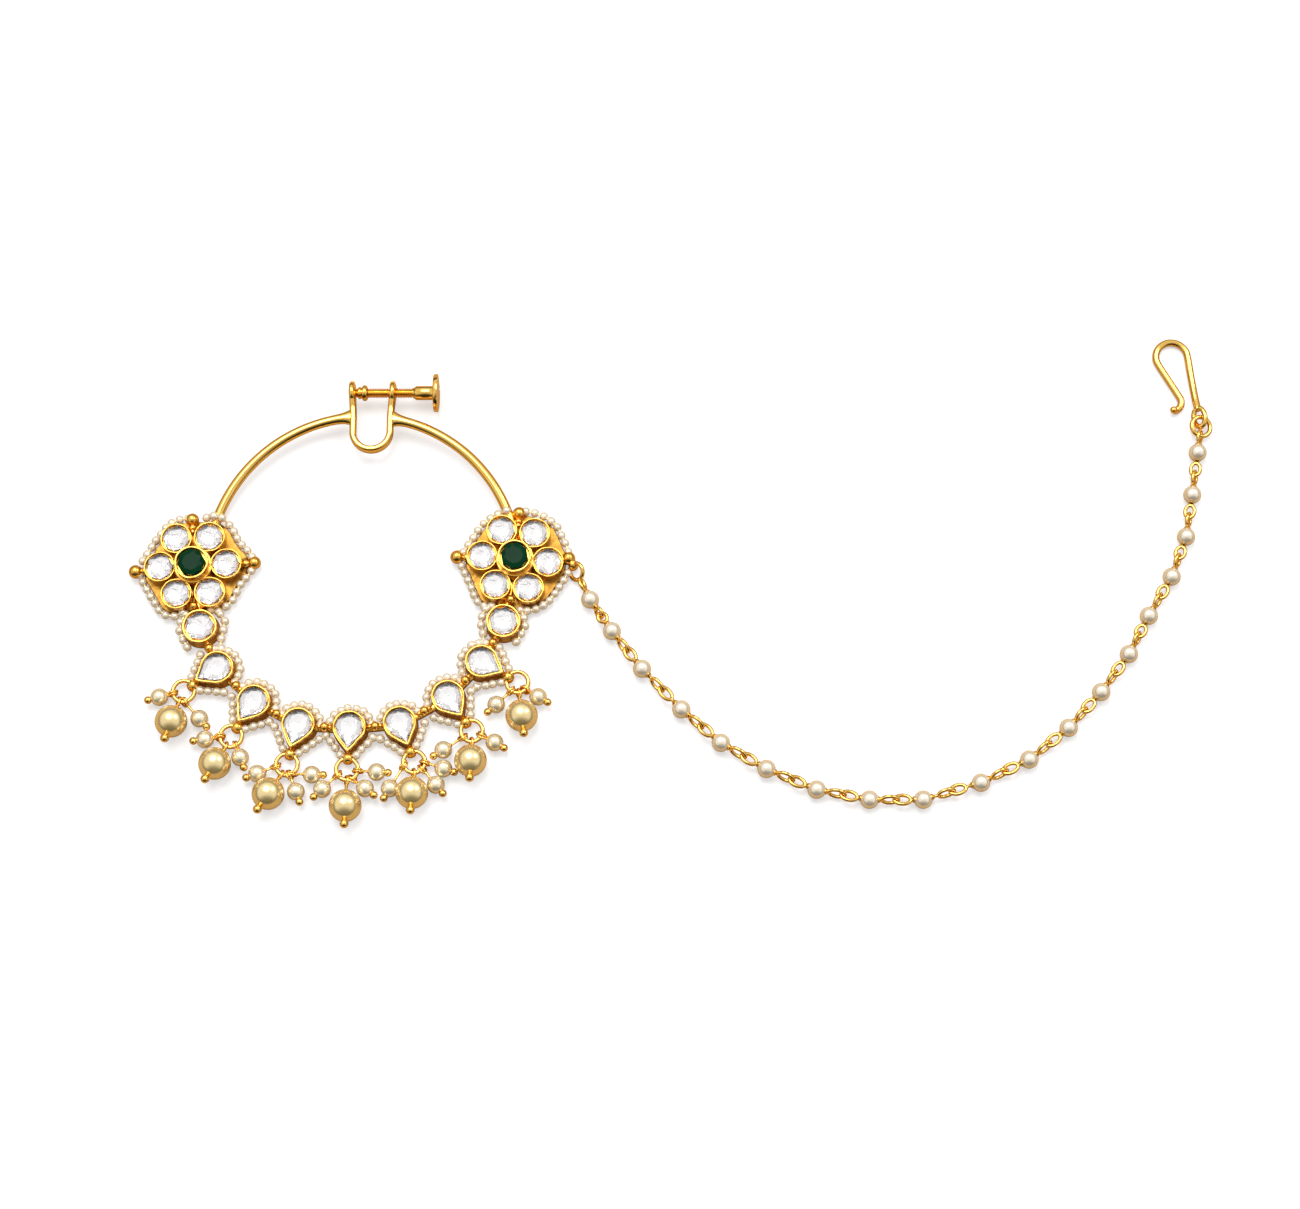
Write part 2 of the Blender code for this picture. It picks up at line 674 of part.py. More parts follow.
def chain_and_hook():
    """The pearl chain, the ring at each end of it and the hook."""
    tip = tip_bail_place() + Vector((0, 0, JUMP_RING_HEIGHT))
    pearls = [Vector((tip.x + x, tip.y + y, CHAIN_PEARL / 2 + PEARL_LIFT)) for x, y in CHAIN_ROUTE]
    outward = polar(chain_bearing(), 1)
    ring = tip + outward * CHAIN_RING_RADIUS
    fuse("flower_ring", [link(CHAIN_RING_RADIUS, CHAIN_RING_WIRE, ring, Vector((0, 0, 1)),
                              along=outward)], GOLD)
    first_eye = ring + outward * CHAIN_RING_RADIUS
    heading = pearls[-1] - pearls[-2]
    heading.normalize()
    last_eye = pearls[-1] + heading * (CHAIN_PEARL / 2 + 2 * CHAIN_EYE_RADIUS)
    fused = [wire([first_eye + outward * CHAIN_EYE_RADIUS, *pearls,
                   last_eye - heading * CHAIN_EYE_RADIUS], CHAIN_WIRE)]
    up = Vector((0, 0, 1))
    fused.append(link(CHAIN_EYE_RADIUS, PIN_WIRE, first_eye, outward.cross(up), along=outward))
    fused.append(link(CHAIN_EYE_RADIUS, PIN_WIRE, last_eye, heading.cross(up), along=heading))
    fused += [ball(CHAIN_PEARL, pearl) for pearl in pearls]
    fuse("chain", fused, CREAM_PEARL)
    end_ring = last_eye + heading * HOOK_RING_RADIUS
    tilt = Matrix.Rotation(math.radians(HOOK_RING_TILT), 3, heading) @ up
    fuse("hook_ring", [link(HOOK_RING_RADIUS, HOOK_RING_WIRE, end_ring, tilt, along=heading)], GOLD)
    hook(end_ring)


def hook(end_ring):
    """A wire hook: an eye, a straight shank, a round turn, a slanting return and an outward curl."""
    way = polar(HOOK_HEADING, 1)
    left = polar(HOOK_HEADING + 90, 1)
    eye = end_ring + way * HOOK_RING_RADIUS
    rest = HOOK_WIRE / 2 + PEARL_LIFT
    flat = [Vector((HOOK_EYE_RADIUS, 0)), Vector((HOOK_SHANK, 0))]
    centre = Vector((HOOK_SHANK, HOOK_TURN_RADIUS))
    for step in range(1, 9):
        angle = math.radians(-90 + HOOK_TURN_ANGLE * step / 8)
        flat.append(centre + HOOK_TURN_RADIUS * Vector((math.cos(angle), math.sin(angle))))
    slant = math.radians(HOOK_TURN_ANGLE)
    run = Vector((math.cos(slant), math.sin(slant)))
    flat.append(flat[-1] + run * HOOK_RETURN)
    side = Vector((run.y, -run.x))
    curl = flat[-1] + side * HOOK_CURL_RADIUS
    for step in range(1, 6):
        angle = math.radians(HOOK_CURL_ANGLE * step / 5)
        flat.append(curl - HOOK_CURL_RADIUS * (math.cos(angle) * side - math.sin(angle) * run))
    points = []
    for spot in flat:
        point = eye + way * spot.x + left * spot.y
        points.append(Vector((point.x, point.y, rest if points else eye.z)))
    tilt = Matrix.Rotation(math.radians(HOOK_EYE_TILT), 3, way) @ Vector((0, 0, 1))
    fuse("hook", [wire(points, HOOK_WIRE), link(HOOK_EYE_RADIUS, HOOK_EYE_WIRE, eye, tilt, way)],
         GOLD)


def centre_on_origin():
    """Moves the ring's empty so that the origin is the middle of the whole thing's underside."""
    bpy.context.view_layer.update()
    corners = [node.matrix_world @ vertex.co for node in parts.objects if node.type == "MESH"
               for vertex in node.data.vertices]
    low = [min(corner[axis] for corner in corners) for axis in range(3)]
    high = [max(corner[axis] for corner in corners) for axis in range(3)]
    ring_frame.location = (-(low[0] + high[0]) / 2, -(low[1] + high[1]) / 2, -low[2])
    bpy.context.view_layer.update()


for leftover in list(bpy.data.objects):
    bpy.data.objects.remove(leftover)
parts = new_collection("kundan_nose_ring")
helpers = new_collection("joined_shapes")
ring_frame = piece("ring_frame", None, parts)

hoop_frame()
clamp()
stones()
for teardrop, large, small in zip(TEARDROPS, LARGE_DROPS, SMALL_DROPS):
    large_drop(teardrop, large)
    drop_cluster(teardrop, small)
chain_and_hook()
bpy.data.collections.remove(helpers)
centre_on_origin()
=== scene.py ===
import bmesh
import bpy
import numpy as np
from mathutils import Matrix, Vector


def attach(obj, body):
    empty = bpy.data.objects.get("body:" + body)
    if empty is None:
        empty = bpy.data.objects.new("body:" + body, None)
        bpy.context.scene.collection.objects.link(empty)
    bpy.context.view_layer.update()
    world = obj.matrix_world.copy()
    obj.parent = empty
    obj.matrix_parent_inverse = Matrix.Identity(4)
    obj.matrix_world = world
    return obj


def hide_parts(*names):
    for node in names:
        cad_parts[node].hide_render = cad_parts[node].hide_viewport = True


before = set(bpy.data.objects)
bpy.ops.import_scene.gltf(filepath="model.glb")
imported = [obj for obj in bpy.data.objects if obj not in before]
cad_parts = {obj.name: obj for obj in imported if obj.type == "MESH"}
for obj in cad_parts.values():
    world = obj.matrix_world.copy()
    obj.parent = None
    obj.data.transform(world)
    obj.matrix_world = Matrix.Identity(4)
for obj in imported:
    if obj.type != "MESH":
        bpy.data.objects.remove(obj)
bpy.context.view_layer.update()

# Hoop
# Round high-carat gold wire bent to two thirds of a circle. Each arm is soldered to a leg of the
# clip, where the solder flares it out, and sinks to the back of a flower at its other end.
# Lengths in this file are millimetres, and a wire's size is its radius.
RING_MIDDLE = np.array([-51.09, 2.843, 0.0])
SETTING_CIRCLE = 26.6
HOOP_RADIUS = 24.9
HOOP_SHIFT = 0.9
HOOP_WIRE = 0.8
HOOP_LOW = 1.05
HOOP_ENDS = (170, 10)
SOLDER_RUN = 1.1
CLIP_HEIGHT = 3.1
CLIP_X = 1.9
CLIP_BEND = 3.0


def polar(bearing, distance, height=0.0):
    """Points at a bearing in degrees and a distance from the upright through the origin."""
    angle = np.radians(bearing)
    return np.stack(np.broadcast_arrays(
        distance * np.cos(angle), distance * np.sin(angle), height), -1).astype(float)


def unit(vectors):
    """Each vector divided by its length."""
    return vectors / np.linalg.norm(vectors, axis=-1, keepdims=True)


def shell(points, closed=False):
    """A grid of points, rows by columns, joined round its columns, and round its rows if closed."""
    rows, columns = points.shape[:2]
    row, column = np.meshgrid(np.arange(rows if closed else rows - 1), np.arange(columns),
                              indexing="ij")
    next_row, next_column = (row + 1) % rows, (column + 1) % columns
    quads = np.stack([row * columns + column, row * columns + next_column,
                      next_row * columns + next_column, next_row * columns + column], -1)
    return points.reshape(-1, 3), quads.reshape(-1, 4)


def tube(path, radius, sides=16, up=(0, 0, 1), flat=1.0, box=1.0, closed=False):
    """A wire: round each point of the path, point + radius * (side * cos + lift * flat * sin), with
    the sine and cosine raised to box, and half a ball at each open end."""
    path = np.asarray(path, float)
    radius = np.broadcast_to(np.asarray(radius, float), len(path))
    flat = np.broadcast_to(np.asarray(flat, float), len(path))
    if closed:
        tangent = unit(np.roll(path, -1, 0) - np.roll(path, 1, 0))
    else:
        tangent = unit(np.gradient(path, axis=0))
        lean = np.radians([0, 25, 50, 72])
        path = np.concatenate([
            path[0] - tangent[0] * radius[0] * np.cos(lean)[:, None], path,
            path[-1] + tangent[-1] * radius[-1] * np.cos(lean[::-1])[:, None]])
        radius = np.concatenate([radius[0] * np.sin(lean), radius, radius[-1] * np.sin(lean[::-1])])
        tangent = np.pad(tangent, ((4, 4), (0, 0)), "edge")
        flat = np.pad(flat, 4, "edge")
    side = unit(np.cross(tangent, up))
    lift = np.cross(side, tangent)
    angle = np.linspace(0, 2 * np.pi, sides, endpoint=False)
    across, above = (np.sign(wave) * np.abs(wave) ** box for wave in (np.cos(angle), np.sin(angle)))
    points = path[:, None] + radius[:, None, None] * (
        across[:, None] * side[:, None] + above[:, None] * (lift * flat[:, None])[:, None])
    return shell(points, closed)


def piece(name, shells, looks, body, slot, *nodes, flat=False, which=None):
    """One object from shells in millimetres: poles and seams merged, faces turned outward, on its
    body, in place of the CAD nodes. The slot argument is not used."""
    starts = np.cumsum([0] + [len(points) for points, _ in shells[:-1]])
    points = np.concatenate([points for points, _ in shells]) / 1000
    faces = np.concatenate([quads + start for (_, quads), start in zip(shells, starts)])
    mesh = bpy.data.meshes.new(name)
    mesh.from_pydata(points.tolist(), [], faces.tolist())
    for look in looks:
        mesh.materials.append(look)
    if which is not None:
        mesh.polygons.foreach_set("material_index", np.asarray(which, np.int32))
    work = bmesh.new()
    work.from_mesh(mesh)
    bmesh.ops.remove_doubles(work, verts=work.verts, dist=1e-7)
    bmesh.ops.recalc_face_normals(work, faces=work.faces)
    work.to_mesh(mesh)
    work.free()
    if flat:
        mesh.shade_flat()
    else:
        mesh.shade_smooth()
        mesh.set_sharp_from_angle(angle=np.radians(50))
    made = bpy.data.objects.new(name, mesh)
    bpy.context.scene.collection.objects.link(made)
    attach(made, body)
    if nodes:
        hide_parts(*nodes)
    return made


def worked_surface():
    """Node group for hand-worked surfaces: two colours mixed by soft noise, a roughness that
    wanders between two values, and a normal with shallow unevenness."""
    group = bpy.data.node_groups.new("worked_surface", "ShaderNodeTree")
    for name, kind in (("Colour", "NodeSocketColor"), ("Deep Colour", "NodeSocketColor"),
                       ("Patch Scale", "NodeSocketFloat"), ("Smoothest", "NodeSocketFloat"),
                       ("Roughest", "NodeSocketFloat"), ("Bump Scale", "NodeSocketFloat"),
                       ("Bump Height", "NodeSocketFloat")):
        group.interface.new_socket(name, in_out="INPUT", socket_type=kind)
    for name, kind in (("Colour", "NodeSocketColor"), ("Roughness", "NodeSocketFloat"),
                       ("Normal", "NodeSocketVector")):
        group.interface.new_socket(name, in_out="OUTPUT", socket_type=kind)
    nodes, join = group.nodes, group.links.new
    given, out = nodes.new("NodeGroupInput"), nodes.new("NodeGroupOutput")
    place = nodes.new("ShaderNodeTexCoord")
    patches, grain = nodes.new("ShaderNodeTexNoise"), nodes.new("ShaderNodeTexNoise")
    mix, spread = nodes.new("ShaderNodeMix"), nodes.new("ShaderNodeMapRange")
    bump = nodes.new("ShaderNodeBump")
    mix.data_type = "RGBA"
    patches.inputs["Detail"].default_value = 3
    grain.inputs["Detail"].default_value = 2
    bump.inputs["Strength"].default_value = 1.0
    join(place.outputs["Object"], patches.inputs["Vector"])
    join(place.outputs["Object"], grain.inputs["Vector"])
    join(given.outputs["Patch Scale"], patches.inputs["Scale"])
    join(given.outputs["Bump Scale"], grain.inputs["Scale"])
    join(patches.outputs["Fac"], mix.inputs["Factor"])
    join(given.outputs["Colour"], mix.inputs["A"])
    join(given.outputs["Deep Colour"], mix.inputs["B"])
    join(grain.outputs["Fac"], spread.inputs["Value"])
    spread.inputs["From Min"].default_value = 0.3
    spread.inputs["From Max"].default_value = 0.7
    join(given.outputs["Smoothest"], spread.inputs["To Min"])
    join(given.outputs["Roughest"], spread.inputs["To Max"])
    join(grain.outputs["Fac"], bump.inputs["Height"])
    join(given.outputs["Bump Height"], bump.inputs["Distance"])
    join(mix.outputs["Result"], out.inputs["Colour"])
    join(spread.outputs["Result"], out.inputs["Roughness"])
    join(bump.outputs["Normal"], out.inputs["Normal"])
    return group


def look_from(name, surface, **sockets):
    """A material whose Principled shader takes colour, roughness and normal from the worked
    surface, with its other sockets set to the values given."""
    look = bpy.data.materials.new(name)
    look.use_nodes = True
    nodes, join = look.node_tree.nodes, look.node_tree.links.new
    shader = nodes["Principled BSDF"]
    work = nodes.new("ShaderNodeGroup")
    work.node_tree = WORKED
    for socket, value in zip(work.inputs, surface):
        socket.default_value = value
    join(work.outputs["Colour"], shader.inputs["Base Color"])
    join(work.outputs["Roughness"], shader.inputs["Roughness"])
    join(work.outputs["Normal"], shader.inputs["Normal"])
    for socket, value in sockets.items():
        shader.inputs[socket.replace("_", " ")].default_value = value
    return look


WORKED = worked_surface()
GOLD = look_from("polished_gold", [(1.0, 0.66, 0.17, 1), (0.92, 0.52, 0.08, 1), 160, 0.06, 0.15,
                                   420, 0.00002], Metallic=1.0, Coat_Weight=0.5)

LEFT_FLOWER = polar(180.4, 0.975 * SETTING_CIRCLE) + RING_MIDDLE
RIGHT_FLOWER = polar(2.0, 0.957 * SETTING_CIRCLE) + RING_MIDDLE


def hoop_arm(flower, side, last):
    """An arc of the hoop's circle whose height falls as a cosine from the clip to the flower, with
    a straight end below the flower. The radius swells by exp(-(run / solder run) ** 1.3) at the
    clip, is kept as thick as the wire upwards, and starts small inside the clip's leg."""
    leg = CLIP_X + side * CLIP_BEND - HOOP_SHIFT
    first = np.degrees(np.arccos(leg / HOOP_RADIUS))
    share = np.linspace(0, 1, 64) ** 1.8
    height = HOOP_LOW + (CLIP_HEIGHT - HOOP_LOW) * np.cos(share * np.pi / 2)
    path = polar(first + (last - first) * share, HOOP_RADIUS, height)
    path = path + RING_MIDDLE + [HOOP_SHIFT, 0, 0]
    path = np.concatenate([path, path[-1] + np.linspace(0.15, 0.7, 6)[:, None] * (
        flower + [0, 0, HOOP_LOW] - path[-1])])
    run = np.concatenate([[0], np.cumsum(np.linalg.norm(np.diff(path, axis=0), axis=1))])
    flare = np.exp(-(run / SOLDER_RUN) ** 1.3)
    sunk = 0.3 + 0.7 * np.clip(run / 0.12, 0, 1)
    return tube(path, HOOP_WIRE * (1 + flare) * sunk, 24, flat=1 / (1 + flare))


arms = [hoop_arm(LEFT_FLOWER, -1, HOOP_ENDS[0]), hoop_arm(RIGHT_FLOWER, 1, HOOP_ENDS[1])]
piece("hoop", arms, [GOLD], "frame", "gold", "hoop_frame")

# Clip
# A U bent from flat gold strip that holds the edge of the nostril. Above the hoop its two ends are
# forged into round ears, and the right ear is drilled and tapped for the clamp screw.
CLIP_THICKNESS = 0.55
CLIP_HALF_WIDTH = 0.95
CLIP_MIDDLE = RING_MIDDLE + [CLIP_X, 0, CLIP_HEIGHT]
CLIP_BASE = np.sqrt(HOOP_RADIUS ** 2 - (CLIP_X - HOOP_SHIFT) ** 2)
CLIP_DROP = 5.6
CLIP_LOW = CLIP_BASE - CLIP_DROP + CLIP_BEND
SCREW_RISE = 4.15
SCREW_AXIS = CLIP_BASE + SCREW_RISE
EAR_RADIUS = 1.9
EAR_HALF_THICKNESS = 0.56
EAR_EDGE = 0.3
EAR_LEAN = 0.3
NECK_HEIGHT = -1.6
NECK_SWELL = 0.35
# One path runs down the left leg, round the bend and up the right leg, with heights counted from
# the screw's axis. The strip is as wide as the ear's circle there, the root of its radius squared
# less the height squared, and below that as the leg, with a swelling at the neck.
rise = np.concatenate([EAR_RADIUS * np.sin(np.radians(np.linspace(88, -50, 26))),
                       np.linspace(-1.7, CLIP_LOW - SCREW_AXIS + 0.3, 12)])
lean = EAR_LEAN * np.clip((rise + 4.0) / 4.0, 0, 1)
leg = np.stack([-CLIP_BEND - lean, rise + SCREW_AXIS, 0 * rise], -1)
bend = polar(np.linspace(180, 360, 36), CLIP_BEND) + [0, CLIP_LOW, 0]
strip = np.concatenate([leg, bend, leg[::-1] * [-1, 1, 1]])
height = np.concatenate([rise, np.full(len(bend), rise[-1]), rise[::-1]])
disc = np.sqrt(np.maximum(EAR_RADIUS ** 2 - height ** 2, 0.003))
neck = CLIP_HALF_WIDTH + NECK_SWELL * np.exp(-((height - NECK_HEIGHT) / 0.5) ** 2)
half_width = np.where(height > 0, disc, np.maximum(disc, neck))
thickness = np.interp(height, [-4.0, NECK_HEIGHT, 1.3, EAR_RADIUS],
                      [CLIP_THICKNESS, EAR_HALF_THICKNESS, EAR_HALF_THICKNESS, EAR_EDGE])
piece("clip", [tube(strip + CLIP_MIDDLE, thickness, 28, flat=half_width / thickness, box=0.7)],
      [GOLD], "frame", "gold")

# Clamp screw and pad
# Turned brass-gold parts on one axis: a small stepped pad that presses on the nostril, a threaded
# rod through the right ear, and a barrel with a slotted disc that the fingers turn.
THREAD_PITCH = 0.4
THREAD_CREST = 0.86
THREAD_ROOT = 0.56
ROWS_PER_TURN = 10
EAR_FLAT = 0.45
PAD_GAP = 0.2
PAD_START = -CLIP_BEND + EAR_FLAT + PAD_GAP
PAD_LENGTH = 1.6
ROD_START = PAD_START + PAD_LENGTH + 0.01
BARREL_GAP = 3.1
BARREL_START = CLIP_BEND + EAR_FLAT + BARREL_GAP
BARREL_LENGTH = 3.4
DISC_RADIUS = 3.1
DISC_THICKNESS = 0.8
DISC_ROUND = 0.14
SLOT_DEPTH = 0.2
SLOT_HALF_WIDTH = 0.17


def placed(form, middles, axes=(0, 0, 1), seconds=(1, 0, 0), sizes=1.0):
    """Copies of a form: its Z turned to each axis, its X towards each second direction, its size
    multiplied, and its origin moved to each middle."""
    middles = np.atleast_2d(np.asarray(middles, float))
    count = len(middles)
    z = unit(np.broadcast_to(np.asarray(axes, float), (count, 3)))
    second = np.broadcast_to(np.asarray(seconds, float), (count, 3))
    x = unit(second - (second * z).sum(-1, keepdims=True) * z)
    frames = np.stack([x, np.cross(z, x), z], 1)
    points, quads = form
    size = np.broadcast_to(np.asarray(sizes, float), count)[:, None, None]
    copies = size * (points @ frames) + middles[:, None]
    joined = quads[None] + np.arange(count)[:, None, None] * len(points)
    return copies.reshape(-1, 3), joined.reshape(-1, 4)


def turned(profile, sides=32):
    """A profile of (height, radius) pairs swept round Z."""
    height, radius = np.asarray(profile, float).T[..., None]
    angle = np.linspace(0, 2 * np.pi, sides, endpoint=False)
    return shell(np.stack(np.broadcast_arrays(radius * np.cos(angle), radius * np.sin(angle),
                                              height), -1))


def thread(start, end, sides=24):
    """A screw thread: radius from root to crest as a wave of (height / pitch + turn), so that the
    crest climbs one pitch a turn, with plain poles at both ends."""
    rows = int((end - start) / THREAD_PITCH * ROWS_PER_TURN)
    height = np.linspace(start, end, rows)[:, None]
    turn = np.linspace(0, 1, sides, endpoint=False)[None]
    wave = 0.5 + 0.5 * np.cos(2 * np.pi * (height / THREAD_PITCH - turn))
    radius = THREAD_ROOT + (THREAD_CREST - THREAD_ROOT) * wave ** 0.8
    radius[[0, -1]] = 0
    angle = 2 * np.pi * turn
    return shell(np.stack([radius * np.cos(angle), radius * np.sin(angle),
                           np.broadcast_to(height, radius.shape)], -1))


def disc_face(height, radius, depth, sides=96, rings=30):
    """The disc: its outer face is flat, falls by the eighth power of the share of the radius at the
    rim, and is cut by a cross of two slots whose walls are a steep S of the distance from them."""
    share = np.linspace(0, 1, rings)[:, None]
    angle = np.linspace(0, 2 * np.pi, sides, endpoint=False)[None]
    x, y = radius * share * np.cos(angle), radius * share * np.sin(angle)
    slot = np.minimum(np.abs(x * 0.8 + y * 0.6), np.abs(x * 0.6 - y * 0.8))
    sunk = SLOT_DEPTH / (1 + np.exp((slot - SLOT_HALF_WIDTH) / 0.03))
    rim_x, rim_y, level = x[-1:], y[-1:], np.full_like(x[-1:], height)
    return shell(np.concatenate([
        np.stack([x, y, height + depth - sunk - DISC_ROUND * share ** 8], -1),
        np.stack([rim_x, rim_y, level + DISC_ROUND], -1),
        np.stack([rim_x * 0.955, rim_y * 0.955, level], -1),
        np.stack([0 * rim_x, 0 * rim_y, level], -1)]))


SCREW_MIDDLE = CLIP_MIDDLE + [0, SCREW_AXIS, 0]
along_x = ((1, 0, 0), (0, 1, 0))
pad = turned([(-0.36, 0), (-0.36, 0.62), (0, 0.8), (0.06, 0.95), (0.2, 1.03), (0.42, 1.0),
              (0.52, 0.86), (0.62, 0.9), (0.72, 1.16), (0.86, 1.27), (1.1, 1.3), (1.34, 1.25),
              (1.5, 1.05), (1.58, 0.8), (PAD_LENGTH, 0)])
piece("clamp_pad_turned", [placed(pad, SCREW_MIDDLE + [PAD_START, 0, 0], *along_x)], [GOLD],
      "pad", "gold", "clamp_pad")
barrel = turned([(0, 0), (0, 0.8), (0.12, 0.86), (0.42, 1.05), (0.55, 1.16), (2.2, 1.16),
                 (BARREL_LENGTH - 0.3, 1.16), (BARREL_LENGTH, 1.35), (BARREL_LENGTH, 0)])
screw = [thread(ROD_START, BARREL_START + 0.1),
         placed(barrel, [0, 0, BARREL_START]),
         disc_face(BARREL_START + BARREL_LENGTH, DISC_RADIUS, DISC_THICKNESS)]
piece("clamp_screw_turned", [placed(form, SCREW_MIDDLE, *along_x) for form in screw], [GOLD],
      "screw", "gold", "clamp_screw")

# Flower settings
# Each flower is a back plate with six closed collets soldered on it in a circle, and a taller
# stepped collet over their middle. Gold balls on short collars mark its points.
COLLET_TOP = 3.2
SEAT = 2.1
STONE_GAP = 0.06
PETAL_RADIUS = 2.15
PETAL_WALL = 0.3
PETAL_CIRCLE = 5.3
LEFT_FACING = 3.0
RIGHT_FACING = -5.5
EMERALD_RADIUS = 2.25
EMERALD_TOP = 4.8
EMERALD_SEAT = EMERALD_TOP - 1.3
EMERALD_WALL = 0.4
SKIRT_RADIUS = 2.82
SKIRT_HEIGHT = 2.95
BALL_HEIGHT = 1.5
# Each flower's point balls: bearing from its facing, reach from its middle, radius.
POINT_BALLS = [(92, 8.1, 1.06), (181, 9.4, 1.1), (2, 9.6, 1.06)]
LOW_BALL_REACH = 6.6
LOW_BALL_HEIGHT = 2.4
LOW_BALL_RADIUS = 0.7
PLATE_MARGIN = 0.6
PLATE_THICKNESS = 0.9
# The rows of seed pearls round each flower: corners from its middle, and how many pearls.
LEFT_STRINGS = [
    ([(-8.4, 1.2), (-7.7, 2.3), (-6.4, 4.6), (-4.9, 7.0), (-3.8, 7.8), (-2.6, 8.35),
      (-1.5, 8.4)], 9),
    ([(1.6, 8.4), (3.1, 8.45), (4.2, 8.1), (5.6, 6.9), (6.9, 4.5), (8.5, 2.7), (9.2, 1.85)], 9),
    ([(-8.7, -1.2), (-8.3, -2.2), (-6.85, -4.5), (-5.4, -6.9), (-4.2, -7.8), (-2.9, -7.95),
      (-1.6, -7.5)], 9),
    ([(9.1, -0.45), (7.6, -2.5), (6.0, -5.8), (5.0, -6.65), (4.0, -7.3), (2.9, -7.0)], 8),
]
RIGHT_STRINGS = [
    ([(-8.4, 1.6), (-7.5, 3.0), (-5.8, 5.85), (-4.05, 7.35), (-2.85, 7.85), (-1.4, 8.25)], 8),
    ([(1.5, 8.5), (3.0, 8.3), (4.5, 7.6), (6.45, 6.35), (7.55, 4.05), (8.5, 1.7)], 8),
    ([(-8.6, -0.7), (-8.0, -1.8), (-7.0, -4.35), (-5.8, -6.9), (-4.8, -7.4), (-3.6, -7.3)], 8),
    ([(8.4, -1.9), (6.95, -4.35), (5.5, -6.4), (4.5, -7.2), (3.3, -7.9), (2.0, -8.2)], 8),
]


def round_form(angle):
    """The outline of a round stone: 1 at every angle."""
    return np.ones_like(angle)


def collet(radius, wall, top, seat, form=round_form, sides=48, seed=0.0, foot=0.05):
    """A bezel cup: a profile of (radius, height) carried round the form, from a foot that is wider
    by foot, up a straight wall and in over a burnished lip. Sines of the angle make its radius and
    the lip's height a little uneven."""
    outer, inner = radius + STONE_GAP + wall, radius + STONE_GAP
    profile = np.array([
        (0, 0), (outer + foot, 0), (outer + foot, 0.65), (outer + 0.8 * foot, 0.85),
        (outer + 0.3 * foot, 1.0), (outer, 1.35), (outer, top - 0.28), (outer - 0.01, top - 0.1),
        (outer - 0.05, top - 0.02), (outer - 0.11, top), (inner + 0.08, top - 0.02),
        (inner + 0.02, top - 0.08), (inner, top - 0.2), (inner, seat), (0, seat)])
    angle = np.linspace(0, 2 * np.pi, sides, endpoint=False)
    uneven = 1 + 0.008 * np.sin(3 * angle + seed) + 0.006 * np.sin(7 * angle + 2.3 * seed)
    across = profile[:, :1] * form(angle) * uneven
    lip = np.clip((profile[:, 1:] - top + 0.3) / 0.3, 0, 1) * (profile[:, :1] > 0)
    height = profile[:, 1:] + 0.035 * lip * np.sin(5 * angle + 1.7 * seed)
    return shell(np.stack([across * np.cos(angle), across * np.sin(angle),
                           np.broadcast_to(height, across.shape)], -1))


def ball(radius, sides=24):
    """A half circle swept round Z."""
    angle = np.radians(np.linspace(0, 180, sides // 2 + 1))
    return turned(np.stack([-radius * np.cos(angle), radius * np.sin(angle)], -1), sides)


def even_points(corners, count):
    """Points at equal distances along the line through the corners, both ends included."""
    corners = np.asarray(corners, float)
    run = np.concatenate([[0], np.cumsum(np.linalg.norm(np.diff(corners, axis=0), axis=1))])
    spots = np.linspace(0, run[-1], count)
    return np.stack([np.interp(spots, run, axis) for axis in corners.T], -1)


def plate(strings):
    """A plate whose rim lies a margin inside the rows of seed pearls: its radius at an angle is
    theirs there, read off between their points, less the margin."""
    row = np.concatenate([even_points(corners, 12) for corners, _ in strings])
    bearing, reach = np.arctan2(row[:, 1], row[:, 0]), np.hypot(row[:, 0], row[:, 1])
    order = np.argsort(bearing)
    angle = np.linspace(-np.pi, np.pi, 120, endpoint=False)
    edge = np.interp(angle, bearing[order], reach[order], period=2 * np.pi)
    edge = edge - PLATE_MARGIN
    rows = [(0, 0), (0.98, 0), (1.0, 0.1), (1.0, PLATE_THICKNESS - 0.15), (0.985, PLATE_THICKNESS),
            (0, PLATE_THICKNESS)]
    return shell(np.stack([np.stack([edge * share * np.cos(angle), edge * share * np.sin(angle),
                                     np.full_like(angle, height)], -1) for share, height in rows]))


def skirt():
    """The step round the raised collet: a rolled ring whose radius swells at twelve beads."""
    turn = np.radians(np.linspace(0, 360, 96, endpoint=False))
    path = np.stack([SKIRT_RADIUS * np.cos(turn), SKIRT_RADIUS * np.sin(turn),
                     np.full_like(turn, SKIRT_HEIGHT)], -1)
    return tube(path, 0.34 + 0.03 * np.sin(12 * turn), 14, closed=True)


